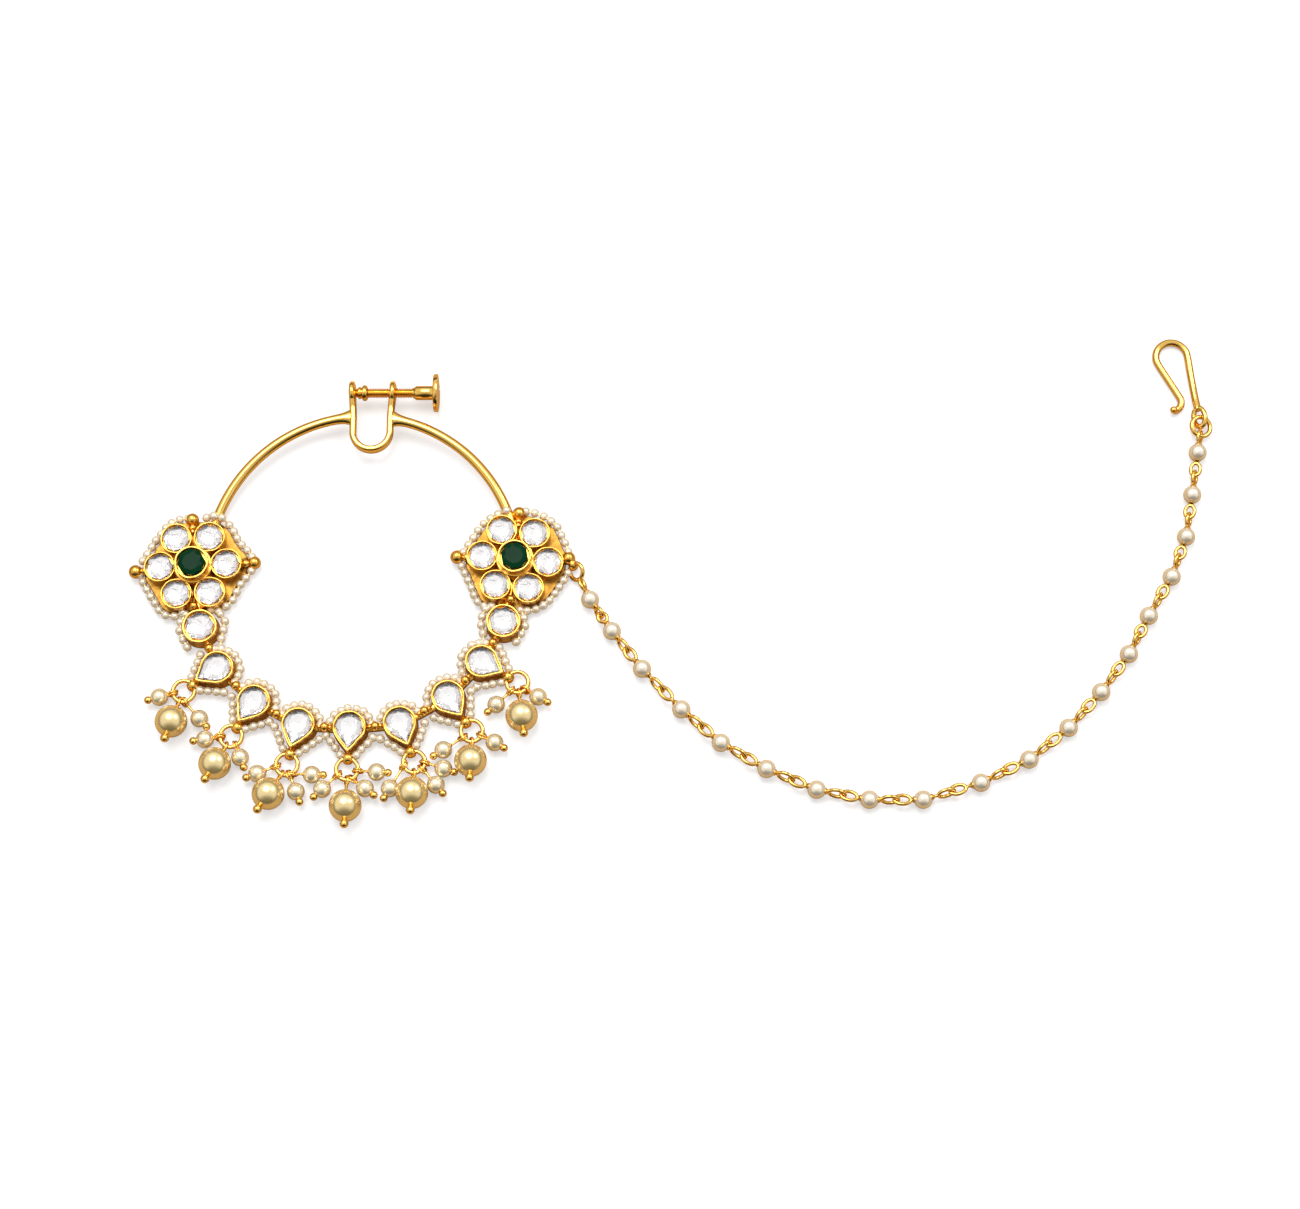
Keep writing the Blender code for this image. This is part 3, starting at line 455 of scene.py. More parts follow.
def flower(middle, facing, ball_count):
    """The gold of one flower: six collets in a circle, the step, its rolled ring and the raised
    collet over the middle, the point balls on their collars, and the low ball."""
    petals = polar(facing + 60 * np.arange(6), PETAL_CIRCLE) + middle
    gold = [placed(collet(PETAL_RADIUS, PETAL_WALL, COLLET_TOP, SEAT, seed=1.3 * number), spot)
             for number, spot in enumerate(petals)]
    gold += [placed(turned([(0.5, 0), (0.5, SKIRT_HEIGHT), (2.7, SKIRT_HEIGHT), (3.0, 2.75),
                            (3.2, 2.6), (3.2, 0)]), middle),
             placed(skirt(), middle),
             placed(collet(EMERALD_RADIUS, EMERALD_WALL, EMERALD_TOP, EMERALD_SEAT, seed=0.7),
                    middle)]
    collar = turned([(-2.2, 0), (-2.2, 0.5), (-1.85, 0.45), (-1.75, 0.6), (-1.5, 0.72),
                     (-1.2, 0.66), (-1.05, 0.5), (-0.5, 0.5), (0, 0)], 20)
    for bearing, reach, radius in POINT_BALLS[:ball_count]:
        way = polar(facing + bearing, 1)
        spot = middle + way * reach + [0, 0, BALL_HEIGHT]
        gold += [placed(ball(radius), spot), placed(collar, spot, way, (0, 0, 1))]
    low = middle + polar(facing + 270, LOW_BALL_REACH, LOW_BALL_HEIGHT)
    return gold + [placed(ball(LOW_BALL_RADIUS, 20), low)]


CAST_GOLD = look_from("soldered_gold", [(0.94, 0.56, 0.11, 1), (0.82, 0.42, 0.05, 1), 420, 0.15,
                                        0.28, 900, 0.00002], Metallic=1.0, Coat_Weight=0.5)
# The back plates' gold is made a dark brown to paint the shade that falls in the recesses between
# the collets, and it is rougher too.
PAINTED_SHADE_GOLD = look_from("painted_shade_plate_gold", [(0.40, 0.22, 0.04, 1), (0.26, 0.12, 0.02, 1), 500, 0.30,
                                       0.45, 1200, 0.00006], Metallic=1.0)
piece("flower_plates", [placed(plate(LEFT_STRINGS), LEFT_FLOWER),
                        placed(plate(RIGHT_STRINGS), RIGHT_FLOWER)], [PAINTED_SHADE_GOLD], "frame", "gold")
piece("left_flower_setting", flower(LEFT_FLOWER, LEFT_FACING, 3), [CAST_GOLD], "frame", "gold")
piece("right_flower_setting", flower(RIGHT_FLOWER, RIGHT_FACING, 2), [CAST_GOLD], "frame", "gold")

# Crescent settings
# Below the flowers two round collets and seven pear-shaped ones hang in a curve, soldered edge to
# edge on a flat strip, with three gold balls over each joint.
ROUND_RADIUS = 2.3
ROUND_WALL = 0.38
PEAR_RADIUS = 2.2
PEAR_WALL = 0.36
PEAR_LENGTH = 5.7
PEAR_POINT = PEAR_LENGTH - PEAR_RADIUS
CRESCENT_FOOT = 0.15
STRIP_HALF = 0.6
STRIP_HEIGHT = 0.65
# The three balls over each joint: shift along the curve, radius, height.
JOINT_BALLS = [(0, 0.8, 1.9), (-0.855, 0.46, 1.7), (0.855, 0.46, 1.7)]
ROUNDS = polar([202.8, 338.4], np.array([0.995, 0.960]) * SETTING_CIRCLE) + RING_MIDDLE
PEAR_BEARINGS = [218.5, 235.7, 252.6, 269.7, 286.6, 305.0, 321.9]
PEAR_REACHES = np.array([1.025, 1.022, 1.030, 1.002, 1.016, 0.996, 0.974])
PEAR_FACINGS = np.array([213.0, 236, 254, 267, 291, 306, 332])
PEARS = polar(PEAR_BEARINGS, PEAR_REACHES * SETTING_CIRCLE) + RING_MIDDLE
POINTS_OUT = polar(PEAR_FACINGS, 1)


def pear_form(angle):
    """A circle drawn out to a point at angle 0: 1 over the cosine of the angle left to the tangent
    point, with the very tip a little rounded."""
    turn = np.abs((angle + np.pi) % (2 * np.pi) - np.pi)
    touch = np.arccos(PEAR_RADIUS / PEAR_POINT)
    drawn = np.where(turn < touch, 1 / np.cos(np.clip(touch - turn, 0, touch)), 1)
    return drawn * (1 - 0.035 * np.exp(-(turn / 0.14) ** 2))


collets = [placed(collet(ROUND_RADIUS, ROUND_WALL, COLLET_TOP, SEAT, seed=2.0 + number,
                         foot=CRESCENT_FOOT), spot) for number, spot in enumerate(ROUNDS)]
collets += [placed(collet(PEAR_RADIUS, PEAR_WALL, COLLET_TOP, SEAT, pear_form, 72, 0.9 * number,
                          CRESCENT_FOOT), spot, seconds=way)
            for number, (spot, way) in enumerate(zip(PEARS, POINTS_OUT))]
row = np.concatenate([[LEFT_FLOWER, ROUNDS[0]], PEARS, [ROUNDS[1], RIGHT_FLOWER]])
strip = np.concatenate([np.linspace(here, there, 8, endpoint=False)
                        for here, there in zip(row[:-1], row[1:])] + [row[-1:]])
collets.append(tube(strip + [0, 0, STRIP_HEIGHT], STRIP_HALF, 16, box=0.6))
between, ways = (row[1:-2] + row[2:-1]) / 2, unit(row[2:-1] - row[1:-2])
for shift, radius, height in JOINT_BALLS:
    collets.append(placed(ball(radius, 16), between + ways * shift + [0, 0, height]))
piece("crescent_settings", collets, [CAST_GOLD], "frame", "gold")

# Kundan stones
# Flat-topped clear glass cut with shallow facets underneath, over silver foil that throws the
# light back. Each is pushed into its collet and held by the burnished lip.
STONE_TOP = 3.42
FOIL = look_from("silver_foil", [(0.98, 0.95, 0.94, 1), (0.91, 0.87, 0.86, 1), 500, 0.04, 0.12,
                                 900, 0.00001], Metallic=0.92)
CLEAR = look_from("clear_kundan_glass", [(1, 1, 1, 1), (0.97, 0.98, 0.99, 1), 300, 0.0, 0.02,
                                         300, 0.000001], Transmission_Weight=1.0, IOR=1.5)


def cut_stone(radius, seat, top, form=round_form, facets=8, depth=0.42):
    """A closed stone of rings at (share of the outline, height), each second ring turned half a
    facet, so that the faces between are kites: pavilion below the girdle, crown above it."""
    rings = [(0, seat + 0.06, 0), (0.36, seat + 0.13, 0), (0.74, seat + 0.62 * depth, 0.5),
             (0.985, seat + depth, 0), (0.985, top - 0.24, 0), (0.84, top - 0.1, 0.5),
             (0.62, top, 0), (0, top, 0)]
    points = []
    for share, height, shift in rings:
        angle = 2 * np.pi * (np.arange(facets) + shift) / facets
        across = radius * share * form(angle)
        points.append(np.stack([across * np.cos(angle), across * np.sin(angle),
                                np.full(facets, height)], -1))
    return shell(np.stack(points))


def foil_below(count, facets):
    """Material numbers for stones whose first three rows of faces are foil and the rest glass."""
    return np.tile(np.repeat([1, 1, 1, 0, 0, 0, 0], facets), count)


petal_stone = cut_stone(PETAL_RADIUS, SEAT, STONE_TOP)
for side, middle, facing in (("left", LEFT_FLOWER, LEFT_FACING),
                             ("right", RIGHT_FLOWER, RIGHT_FACING)):
    bearings = facing + 60 * np.arange(6)
    petals = placed(petal_stone, polar(bearings, PETAL_CIRCLE) + middle,
                    seconds=polar(17 * np.arange(6) + 5, 1))
    piece(f"{side}_petal_stones", [petals], [CLEAR, FOIL], "frame", "kundan",
          *[f"{side}_petal_{number}" for number in range(1, 7)], flat=True,
          which=foil_below(6, 8))
round_stones = placed(cut_stone(ROUND_RADIUS, SEAT, STONE_TOP), ROUNDS, seconds=polar([12, 34], 1))
piece("round_stones", [round_stones], [CLEAR, FOIL], "frame", "kundan",
      "round_stone_left", "round_stone_right", flat=True, which=foil_below(2, 8))
pear_stones = placed(cut_stone(PEAR_RADIUS, SEAT, STONE_TOP, pear_form, 12), PEARS,
                     seconds=POINTS_OUT)
piece("pear_stones", [pear_stones], [CLEAR, FOIL], "frame", "kundan",
      *[f"teardrop_stone_{number}" for number in range(1, 8)], flat=True,
      which=foil_below(7, 12))

# Green stones
# Dark green glass cut with a wide flat table and a deep back. Each stone is pressed into a
# flower's raised collet and held by its burnished lip.
EMERALD_TABLE = 5.02
EMERALD_DEPTH = 0.7
GREEN = look_from("dark_green_glass", [(0.001, 0.045, 0.014, 1), (0.0, 0.018, 0.006, 1), 700, 0.08,
                                       0.2, 600, 0.000004], Specular_IOR_Level=0.05)
emerald = cut_stone(EMERALD_RADIUS, EMERALD_SEAT, EMERALD_TABLE, depth=EMERALD_DEPTH)
piece("green_stones", [placed(emerald, [LEFT_FLOWER, RIGHT_FLOWER], seconds=polar([10, -12], 1))],
      [GREEN], "frame", "emerald", "emerald_left", "emerald_right", flat=True)

# Seed pearls
# Tiny off-white pearls threaded on fine gold wire, wound round the outside of every setting and
# anchored beside the gold balls.
SEED_RADIUS = 0.71
SEED_WIRE = 0.13
FLOWER_ROW_HEIGHT = 1.25
# Where a row crosses the hoop's wire it climbs over it: how far up, and from how far off.
CLIMB = 1.2
CLIMB_REACH = 1.9
# The two rows beside a round collet: corners from its middle.
INNER_ROW = [(2.9, 2.4), (3.55, 1.65), (3.75, 0.4), (3.5, -0.75), (3.15, -1.95), (3.2, -3.1)]
OUTER_ROW = [(-2.6, 2.4), (-3.2, 1.4), (-3.4, 0.1), (-3.2, -0.95), (-2.7, -2.0), (-2.0, -3.0)]
SIDE_ROW_HEIGHT = 1.3
# Eight pearls go round the head of a pear-shaped collet and four along each straight side.
HEAD_ROW_REACH = 3.42
HEAD_ROW_TURN = 20.6
HEAD_ROW_HEIGHT = 1.5
STRAIGHT_ROW_REACH = 3.56
STRAIGHT_ROW_STEPS = np.array([-1.4, -0.12, 1.16, 2.42])
SEED = look_from("seed_pearl", [(0.95, 0.88, 0.74, 1), (0.88, 0.76, 0.55, 1), 900, 0.16, 0.30,
                                1400, 0.00002], Metallic=0.4, Coat_Weight=0.7, Coat_Roughness=0.1)
hoop_line = polar(np.concatenate([np.linspace(140, 171, 40), np.linspace(9, 40, 40)]), HOOP_RADIUS)
hoop_line = hoop_line + RING_MIDDLE + [HOOP_SHIFT, 0, 0]
seeds = []
for middle, strings in ((LEFT_FLOWER, LEFT_STRINGS), (RIGHT_FLOWER, RIGHT_STRINGS)):
    for corners, count in strings:
        row = np.array([(x, y, FLOWER_ROW_HEIGHT) for x, y in corners]) + middle
        row = even_points(row, count)
        off_wire = np.linalg.norm(row[:, None, :2] - hoop_line[None, :, :2], axis=-1).min(1)
        row[:, 2] += CLIMB * np.clip(CLIMB_REACH - off_wire, 0, 1)
        seeds.append(row)
for middle, side in zip(ROUNDS, (1, -1)):
    for corners in (INNER_ROW, OUTER_ROW):
        row = np.array([(x * side, y, SIDE_ROW_HEIGHT) for x, y in corners]) + middle
        seeds.append(even_points(row, 5))
inward = PEAR_FACINGS[:, None] + 180 + HEAD_ROW_TURN * (np.arange(8) - 3.5)
heads = polar(inward, HEAD_ROW_REACH, HEAD_ROW_HEIGHT) + PEARS[:, None]
seeds.append(heads.reshape(-1, 3))
touch = np.degrees(np.arccos(PEAR_RADIUS / PEAR_POINT))
for edge in (-1, 1):
    normal = polar(PEAR_FACINGS + edge * touch, 1)
    along = polar(PEAR_FACINGS + edge * (touch - 90), 1)
    run = (PEARS[:, None] + normal[:, None] * STRAIGHT_ROW_REACH
           + along[:, None] * STRAIGHT_ROW_STEPS[None, :, None])
    seeds.append((run + [0, 0, SIDE_ROW_HEIGHT]).reshape(-1, 3))
threads = [tube(string, SEED_WIRE, 6) for string in seeds[:12]]
seeds = np.concatenate(seeds)
grain = np.random.default_rng(7)
uneven = grain.normal(0, 0.05, seeds.shape) * [1, 1, 0.6]
sizes = SEED_RADIUS * (1 + grain.uniform(-0.06, 0.05, len(seeds)))
seed_form = turned([(-1, 0), (-0.81, 0.59), (-0.31, 0.95), (0.31, 0.95), (0.81, 0.59), (1, 0)], 12)
piece("seed_pearls", [placed(seed_form, seeds + uneven, grain.normal(0, 1, seeds.shape),
                             sizes=sizes)], [SEED], "frame", "cream_pearl")
piece("seed_wires", threads, [GOLD], "frame", "gold")

# Bails and jump rings
# A flat band is bent into an eye and soldered to the point of each pear-shaped collet with a
# short turned neck, and a jump ring of round wire hangs in it. The jump rings are made here and
# join the small drops' findings, whose eyes are turned round them.
BAIL_REACH = PEAR_POINT * (PEAR_RADIUS + STONE_GAP + PEAR_WALL) / PEAR_RADIUS + 0.5
JUMP_RADIUS = 1.72
JUMP_WIRE = 0.34
JUMP_HEIGHT = 1.1
BAIL_RADIUS = 0.62
BAIL_BAND = 0.38
BAIL_WIDTH = 1.9
UP = np.array([0.0, 0, 1])


def loop(radius, wire, width=1.0, length=1.0, sides=12, steps=32):
    """A closed link round Z of wire radius wire, drawn out along X by length, whose band is width
    times as wide as it is thick."""
    turn = np.linspace(0, 2 * np.pi, steps, endpoint=False)
    path = np.stack([radius * length * np.cos(turn), radius * np.sin(turn), 0 * turn], -1)
    return tube(path, wire, sides, flat=width, closed=True)


bails = PEARS + POINTS_OUT * BAIL_REACH + UP * JUMP_HEIGHT
rings = PEARS + POINTS_OUT * (BAIL_REACH + JUMP_RADIUS) + UP * JUMP_HEIGHT
sideways = np.cross(POINTS_OUT, UP)
bail_pieces = [placed(loop(BAIL_RADIUS, BAIL_BAND, BAIL_WIDTH), bails, sideways, POINTS_OUT),
               placed(turned([(-1.1, 0), (-1.1, 0.5), (-0.3, 0.42), (-0.1, 0)], 16),
                      bails - POINTS_OUT * 0.35, POINTS_OUT, UP)]
piece("bails", bail_pieces, [CAST_GOLD], "frame", "gold")
jump_rings = placed(loop(JUMP_RADIUS, JUMP_WIRE, sides=14, steps=48), rings)

# Large pearls
# Golden pearls drilled through, each on a headpin that ends in a ball below and is turned into an
# eye above, round the jump ring.
PIN_WIRE = 0.25
EYE_RADIUS = 0.54
PIN_REACH = 3.0
LARGE_RADIUS = 2.55
HEAD_RADIUS = 0.7
TABLE_GAP = 0.03
# For each drop: the bearing of its eye on the jump ring, the bearing it lies at, and its length.
LARGE_HANG = np.array([246.0, 243, 243, 270, 269, 270, 278])
LARGE_LIE = np.array([258.0, 247, 243, 271, 269, 270, 278])
LARGE_REACH = np.array([1.24, 1.13, 1.27, 1.45, 1.16, 1.12, 1.36])
GOLDEN = look_from("golden_pearl", [(0.97, 0.76, 0.34, 1), (0.91, 0.65, 0.23, 1), 260, 0.22, 0.28,
                                    900, 0.000006], Metallic=0.7, Coat_Weight=1.0,
                   Coat_Roughness=0.2, Coat_IOR=2.1)


def pearl(radius, hole=0.12, sides=40):
    """A half circle swept round Z, drawn in by 0.05 of its radius at the ends of its drill hole, as
    exp(-(distance from the hole's line / 2.5 holes) ** 2)."""
    angle = np.radians(np.linspace(0, 180, sides // 2 + 1))
    dimple = 1 - 0.05 * np.exp(-(np.sin(angle) * radius / (2.5 * hole)) ** 2)
    return turned(np.stack([-radius * dimple * np.cos(angle), radius * np.sin(angle)], -1), sides)


def hung(hang, lie, reach, middle, radius):
    """The eye on the jump ring, the pearl's middle at its own radius over the table, and the way
    from one to the other."""
    eye = middle + polar(hang, JUMP_RADIUS)
    spot = eye + polar(lie, np.asarray(reach) * PIN_REACH)
    spot[..., 2] = radius + TABLE_GAP
    return eye, spot, unit(spot - eye)


eyes, spots, ways = hung(LARGE_HANG, LARGE_LIE, LARGE_REACH, rings, LARGE_RADIUS)
piece("large_pearls", [placed(pearl(LARGE_RADIUS), spots, ways, UP)], [GOLDEN], "frame",
      "golden_pearl", *[f"large_pearl_{number}" for number in range(1, 8)])
collar = turned([(-0.1, 0), (-0.1, 0.42), (0.06, 0.46), (0.16, 0.3), (0.3, 0.22), (0.3, 0)], 16)
head_middles = spots + ways * (LARGE_RADIUS + HEAD_RADIUS)
pins = [placed(loop(EYE_RADIUS, PIN_WIRE, length=1.25, sides=10), eyes + ways * 0.1,
               np.cross(ways, UP) + 0.45 * UP, ways),
        placed(ball(HEAD_RADIUS), head_middles, ways, UP),
        placed(collar, head_middles - ways * (HEAD_RADIUS + 0.02), ways, UP),
        placed(collar, spots - ways * (LARGE_RADIUS - 0.02), -ways, UP)]
pins += [tube([eye + way * EYE_RADIUS, spot], PIN_WIRE, 10)
         for eye, spot, way in zip(eyes, spots, ways)]
piece("large_pins", pins, [GOLD], "frame", "gold",
      *[f"large_pin_{number}" for number in range(1, 8)])

# Small drops
# Two or three smaller cream pearls on ball headpins beside each large one, their eyes turned
# loosely round the same jump ring, so that they lie every way.
SMALL_RADIUS = 1.4
SMALL_WIRE = 0.19
SMALL_EYE = 0.68
SMALL_COIL = 0.62
SMALL_HEAD = 0.62
SMALL_COLLAR = 0.8
# For each pear-shaped collet its drops: bearing of the eye, bearing of the pearl, length.
SMALL_DROPS = [
    [(192, 198, 0.72), (278, 312, 1.25)],
    [(185, 190, 0.78), (300, 292, 0.70)],
    [(190, 203, 1.02), (290, 291, 0.98), (300, 357, 1.06)],
    [(213, 225, 1.08), (300, 322, 0.88), (352, 355, 1.00)],
    [(200, 241, 1.41), (322, 309, 1.14), (358, 340, 1.04)],
    [(218, 214, 1.22), (338, 328, 0.80)],
    [(236, 224, 1.08), (318, 328, 0.80)],
]
CREAM = look_from("cream_pearl", [(0.98, 0.87, 0.62, 1), (0.92, 0.77, 0.46, 1), 400, 0.20, 0.28,
                                  900, 0.000008], Metallic=0.6, Coat_Weight=1.0,
                  Coat_Roughness=0.2, Coat_IOR=2.0)
owner = np.repeat(np.arange(7), [len(drops) for drops in SMALL_DROPS])
hang, lie, reach = np.array([drop for drops in SMALL_DROPS for drop in drops]).T
eyes, spots, ways = hung(hang, lie, reach, rings[owner], SMALL_RADIUS)
piece("small_pearls", [placed(pearl(SMALL_RADIUS, 0.1, 28), spots, ways, UP)], [CREAM], "frame",
      "cream_pearl", *[f"drop_cluster_{number}" for number in range(1, 8)])
lean = np.radians(35 * np.sin(2.1 * np.arange(len(eyes))))[:, None]
level = np.cross(ways, UP)
loop_axes = np.cos(lean) * level + np.sin(lean) * np.cross(level, ways)
heads = spots + ways * (SMALL_RADIUS + 0.42)
findings = [jump_rings,
            placed(loop(SMALL_EYE, SMALL_WIRE, length=1.15, sides=8, steps=24),
                   eyes + loop_axes * 0.17, loop_axes, ways),
            placed(loop(SMALL_COIL, SMALL_WIRE, sides=8, steps=24), eyes - loop_axes * 0.2,
                   loop_axes + 0.35 * level, ways),
            placed(ball(SMALL_HEAD, 20), heads, ways, UP),
            placed(collar, spots - ways * (SMALL_RADIUS - 0.04), -ways, UP, SMALL_COLLAR)]
findings += [tube([eye + way * 0.7, spot], SMALL_WIRE, 8)
             for eye, spot, way in zip(eyes, spots, ways)]
piece("drop_findings", findings, [GOLD], "frame", "gold")

# Pearl chain
# Nineteen cream pearls, each on its own pin with a small cone at both sides, whose ends are turned
# into oval eyes that link into each other.
CHAIN_ROUTE = np.array([
    (2.8, -5.9), (6.3, -11.1), (11.1, -17.3), (17.3, -23.9), (23.5, -29.3), (30.6, -33.5),
    (38.4, -36.8), (46.6, -38.4), (55.0, -38.4), (64.1, -35.7), (71.8, -32.0), (78.2, -26.9),
    (83.6, -21.1), (88.3, -14.9), (91.8, -8.6), (95.8, -2.1), (98.5, 4.6), (99.9, 11.7),
    (101.2, 18.9)])
CHAIN_RADIUS = 1.45
CHAIN_EYE = 0.75
LONGEST_EYE = 1.3
CONE = 0.62
LINK_WIRE = 0.3
LINK_GAP = 0.04
NECK_WIRE = 0.24
EYE_LEANS = (1.05, -0.25)
END_EYE = 0.62
TIP_BEARING = -2.75
TIP_REACH = 9.2
FLOWER_RING = 1.35
HOOK_RING_REACH = 3.1
ROSE = look_from("rose_cream_pearl", [(0.96, 0.86, 0.70, 1), (0.92, 0.78, 0.56, 1), 350, 0.20,
                                      0.28, 900, 0.000008], Metallic=0.5, Coat_Weight=1.0,
                 Coat_Roughness=0.2, Coat_IOR=1.9)
tip = RIGHT_FLOWER + polar(TIP_BEARING, TIP_REACH, JUMP_HEIGHT)
lift = np.full((len(CHAIN_ROUTE), 1), CHAIN_RADIUS + TABLE_GAP - JUMP_HEIGHT)
chain = np.concatenate([CHAIN_ROUTE, lift], 1) + tip
piece("chain_pearls", [placed(pearl(CHAIN_RADIUS, 0.1, 32), chain,
                              unit(np.gradient(chain, axis=0)), UP)], [ROSE], "frame",
      "cream_pearl", "chain")
outward = unit(CHAIN_ROUTE[:1] @ np.eye(2, 3))[0]
ring_start = tip + outward * FLOWER_RING
heading = unit(chain[-1] - chain[-2])
ring_end = chain[-1] + heading * (CHAIN_RADIUS + HOOK_RING_REACH)
cone = turned([(-0.12, 0), (-0.12, 0.5), (0.04, 0.56), (0.16, 0.44), (0.45, 0.26), (0.62, 0.22),
               (0.7, 0)], 18)
here, there = chain[:-1], chain[1:]
steps = there - here
gap = np.linalg.norm(steps, axis=1) - 2 * CHAIN_RADIUS
along = unit(steps)
half = np.minimum((gap - 2 * CONE + 2 * LINK_WIRE + 0.5) / 4, LONGEST_EYE)
eye_form = [loop(CHAIN_EYE, LINK_WIRE, length=length / CHAIN_EYE, sides=10, steps=28)
            for length in half]
flat_across = np.cross(along, UP)
links = [placed(cone, here + along * CHAIN_RADIUS, along, UP),
         placed(cone, there - along * CHAIN_RADIUS, -along, UP)]
for number, form in enumerate(eye_form):
    way = along[number]
    joint = (here[number] + there[number]) / 2
    apart = way * (half[number] - LINK_WIRE - LINK_GAP)
    first, second = joint - apart, joint + apart
    for pearl_middle, eye, toward in ((here[number], first, way), (there[number], second, -way)):
        neck = [pearl_middle + toward * (CHAIN_RADIUS + 0.4), eye - toward * (half[number] - 0.1)]
        links.append(tube(np.array(neck), NECK_WIRE, 12))
    for middle, lean in zip((first, second), EYE_LEANS):
        axis = np.cos(lean) * UP + np.sin(lean) * flat_across[number]
        links.append(placed(form, middle, axis, way))
first_way = unit(chain[0] - ring_start)
eye_long = loop(END_EYE, LINK_WIRE, length=1.6, sides=10, steps=28)
end_loops = [(chain[0] - first_way * (CHAIN_RADIUS + CONE + 0.85), -first_way),
             (chain[-1] + heading * (CHAIN_RADIUS + CONE + 0.75), heading)]
for middle, way in end_loops:
    links.append(placed(eye_long, middle, np.cross(way, UP) * 0.8 + UP * 0.5, way))
links += [placed(cone, chain[0] - first_way * CHAIN_RADIUS, -first_way, UP),
          placed(cone, chain[-1] + heading * CHAIN_RADIUS, heading, UP)]
piece("chain_links", links, [GOLD], "frame", "gold")

# Rings at the chain's ends
# The chain hangs from a jump ring in the eye at the right flower's tip, and its other end carries
# a heavier ring for the hook.
TIP_BALL = 1.1
FLOWER_RING_WIRE = 0.34
HOOK_RING = 1.62
HOOK_RING_WIRE = 0.37
tilt = np.radians(15)
ring_axis = np.cos(tilt) * UP + np.sin(tilt) * np.cross(heading, UP)
tip_bail = placed(loop(BAIL_RADIUS, BAIL_BAND, 1.7), tip, np.cross(outward, UP), outward)
tip_ball = placed(ball(TIP_BALL), tip - outward * 0.9 + [-0.3, 0.2, 0.2])
piece("flower_tip", [tip_bail, tip_ball], [CAST_GOLD], "frame", "gold")
small_ring = placed(loop(FLOWER_RING, FLOWER_RING_WIRE, sides=14, steps=48),
                    ring_start + [0, 0, 0.3], UP + np.cross(outward, UP), outward)
piece("flower_jump_ring", [small_ring], [GOLD], "frame", "gold", "flower_ring")
heavy_ring = placed(loop(HOOK_RING, HOOK_RING_WIRE, sides=14, steps=48), ring_end, ring_axis,
                    heading)
piece("hook_jump_ring", [heavy_ring], [GOLD], "frame", "gold", "hook_ring")

# Hook
# One length of gold wire: an eye closed on the ring, a straight shank, a round turn, and a return
# that slants in and curls out and up at its tip, so that hair slides under it.
HOOK_WIRE = 0.58
HOOK_EYE = 1.0
HOOK_EYE_LENGTH = 1.6
HOOK_EYE_WIRE = 0.42
RING_TO_EYE = 1.6
HOOK_LENGTH = 11.1
HOOK_TURN = 2.6
HOOK_SWEEP = 203
RETURN_LENGTH = 6.6
CURL_TURN = 1.6
CURL_SWEEP = 115


def smooth_path(points, steps):
    """A Catmull-Rom curve through the points, with this many stretches between neighbours."""
    spots = np.asarray(points, float)
    spots = np.concatenate([[2 * spots[0] - spots[1]], spots, [2 * spots[-1] - spots[-2]]])
    share = (np.arange(steps) / steps)[None, :, None]
    a, b, c, d = (spots[start:len(spots) - 3 + start, None] for start in range(4))
    curve = 0.5 * (2 * b + (c - a) * share + (2 * a - 5 * b + 4 * c - d) * share ** 2
                   + (3 * b - a - 3 * c + d) * share ** 3)
    return np.concatenate([curve.reshape(-1, 3), spots[-2:-1]])


hook_way = polar(96, 1)
hook_left = polar(186, 1)
hook_eye = ring_end + hook_way * RING_TO_EYE
rest = HOOK_WIRE + TABLE_GAP
turn = np.radians(-90 + HOOK_SWEEP * np.linspace(0, 1, 9))
bend = np.stack([HOOK_LENGTH + HOOK_TURN * np.cos(turn), HOOK_TURN + HOOK_TURN * np.sin(turn)], -1)
slant = np.radians(HOOK_SWEEP)
run = np.array([np.cos(slant), np.sin(slant)])
side = np.array([run[1], -run[0]])
curl_middle = bend[-1] + run * RETURN_LENGTH + side * CURL_TURN
curl = np.radians(np.linspace(0, CURL_SWEEP, 7))[:, None]
curl = curl_middle - CURL_TURN * (np.cos(curl) * side - np.sin(curl) * run)
flat_path = np.concatenate([[(HOOK_EYE_LENGTH, 0), (3.6, 0), (7.4, 0)], bend,
                            [bend[-1] + run * RETURN_LENGTH / 2], curl])
height = np.full(len(flat_path), rest)
height[[0, -1]] = hook_eye[2] - 0.15
height[1] = (hook_eye[2] + 2 * rest) / 3
hook_path = (hook_eye * [1, 1, 0] + flat_path[:, :1] * hook_way + flat_path[:, 1:] * hook_left
             + height[:, None] * UP)
tilt = np.radians(40)
eye_axis = np.cos(tilt) * UP - np.sin(tilt) * np.cross(hook_way, UP)
hook_loop = placed(loop(HOOK_EYE, HOOK_EYE_WIRE, length=HOOK_EYE_LENGTH, sides=14, steps=40),
                   hook_eye, eye_axis, hook_way)
piece("hook_wire", [tube(smooth_path(hook_path, 6), HOOK_WIRE, 20), hook_loop], [GOLD], "frame",
      "gold", "hook")

# Surface, light and camera
# A plain table under one large soft light, nearly overhead and a little to the back, and a small
# one from the right, in a white room that is dark low down in front. The camera sees the table
# white, and the metal and pearls that mirror it see a warm brown.
WARM_TABLE = (0.54, 0.37, 0.18, 1)
TABLE_REACH = 3
TABLE = bpy.data.materials.new("white_table")
TABLE.use_nodes = True
cloth = TABLE.node_tree.nodes["Principled BSDF"]
seen, dim, both = (TABLE.node_tree.nodes.new(kind) for kind in (
    "ShaderNodeLightPath", "ShaderNodeBsdfDiffuse", "ShaderNodeMixShader"))
dim.inputs["Color"].default_value = WARM_TABLE
surface = TABLE.node_tree.nodes["Material Output"].inputs["Surface"]
for start, end in ((seen.outputs["Is Camera Ray"], both.inputs["Fac"]),
                   (dim.outputs["BSDF"], both.inputs[1]), (cloth.outputs["BSDF"], both.inputs[2]),
                   (both.outputs["Shader"], surface)):
    TABLE.node_tree.links.new(start, end)
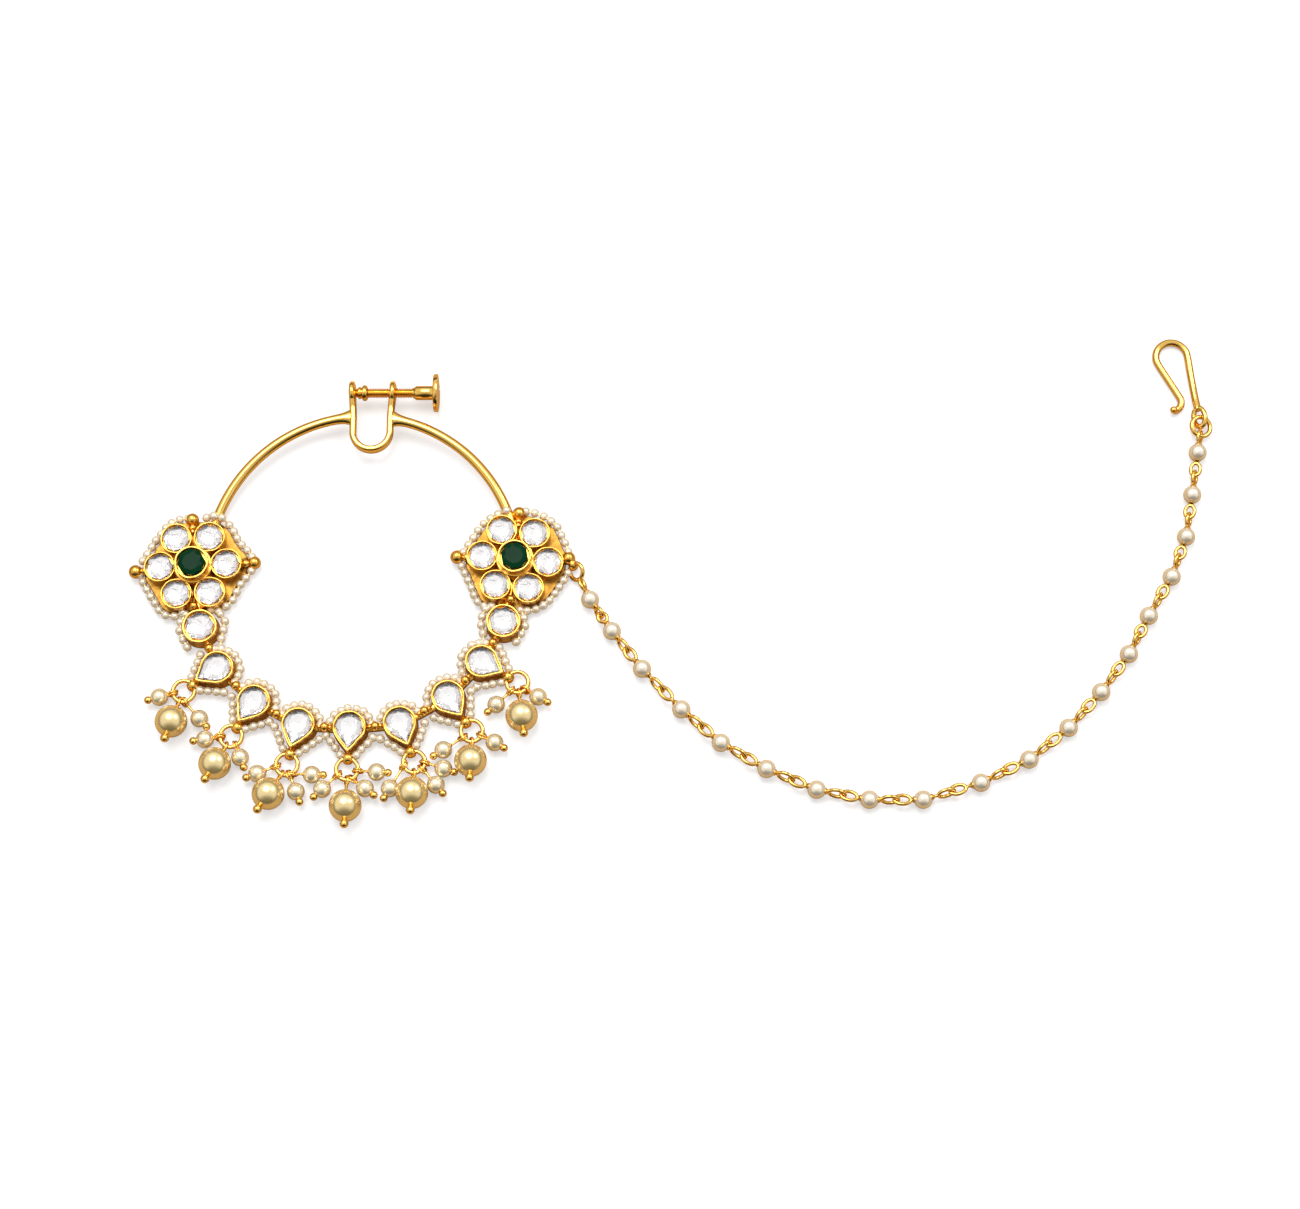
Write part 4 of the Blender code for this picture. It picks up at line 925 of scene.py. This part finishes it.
cloth.inputs["Base Color"].default_value = (0.62, 0.62, 0.62, 1)
cloth.inputs["Roughness"].default_value = 0.8
cloth.inputs["Emission Color"].default_value = (1, 1, 1, 1)
cloth.inputs["Emission Strength"].default_value = 0.48
table = bpy.data.meshes.new("table")
corners = [(x * TABLE_REACH, y * TABLE_REACH, 0) for x, y in ((-1, -1), (1, -1), (1, 1), (-1, 1))]
table.from_pydata(corners, [], [(0, 1, 2, 3)])
table.materials.append(TABLE)
table_top = bpy.data.objects.new("table", table)
bpy.context.scene.collection.objects.link(table_top)

aim = Vector((-0.02, 0, 0))
for name, where, size, power in (("key", (-0.14, 0.34, 0.83), 0.55, 4.4),
                                 ("sparkle", (0.45, 0.30, 0.60), 0.25, 1.2)):
    lamp = bpy.data.lights.new(name, "AREA")
    lamp.shape, lamp.size, lamp.energy = "DISK", size, power
    holder = bpy.data.objects.new(name, lamp)
    bpy.context.scene.collection.objects.link(holder)
    holder.location = where
    holder.rotation_euler = (aim - Vector(where)).to_track_quat("-Z", "Y").to_euler()

# The room's brightness is the product of two ramps: one over the share of a direction that points
# low to the front, and one over the share that points up.
world = bpy.data.worlds.new("studio")
bpy.context.scene.world = world
world.use_nodes = True
nodes, join = world.node_tree.nodes, world.node_tree.links.new
sky = nodes.new("ShaderNodeTexCoord")
product = nodes.new("ShaderNodeMath")
product.operation = "MULTIPLY"
for number, (way, stops) in enumerate((
        ((0.0, -0.97, 0.24), ((0.0, 1.0), (0.50, 1.0), (0.72, 0.35), (0.86, 0.06), (1.0, 0.04))),
        ((0.0, 0.0, 1.0), ((0.0, 0.05), (0.20, 0.10), (0.42, 0.95), (0.75, 0.9), (1.0, 0.8))))):
    toward, fade = nodes.new("ShaderNodeVectorMath"), nodes.new("ShaderNodeValToRGB")
    toward.operation = "DOT_PRODUCT"
    toward.inputs[1].default_value = way
    ramp = fade.color_ramp.elements
    for _ in stops[2:]:
        ramp.new(0.5)
    for stop, (position, value) in zip(ramp, stops):
        stop.position, stop.color = position, (value, value, value, 1)
    join(sky.outputs["Generated"], toward.inputs[0])
    join(toward.outputs["Value"], fade.inputs["Fac"])
    join(fade.outputs["Color"], product.inputs[number])
brightness = nodes.new("ShaderNodeMath")
brightness.operation = "MULTIPLY"
brightness.inputs[1].default_value = 0.95
join(product.outputs["Value"], brightness.inputs[0])
join(brightness.outputs["Value"], nodes["Background"].inputs["Strength"])
nodes["Background"].inputs["Color"].default_value = (1, 1, 1, 1)

# The camera looks down from 0.39 m, tilted by 16 degrees, as the photo's ovals tell.
camera_data = bpy.data.cameras.new("camera")
camera_data.lens = 70.6
camera_data.sensor_width = 36
camera = bpy.data.objects.new("camera", camera_data)
camera.location = (-0.00409, -0.11547, 0.3922)
camera.rotation_euler = (np.radians(16), 0, 0)
bpy.context.scene.collection.objects.link(camera)
bpy.context.scene.camera = camera
bpy.context.scene.view_settings.view_transform = "Standard"
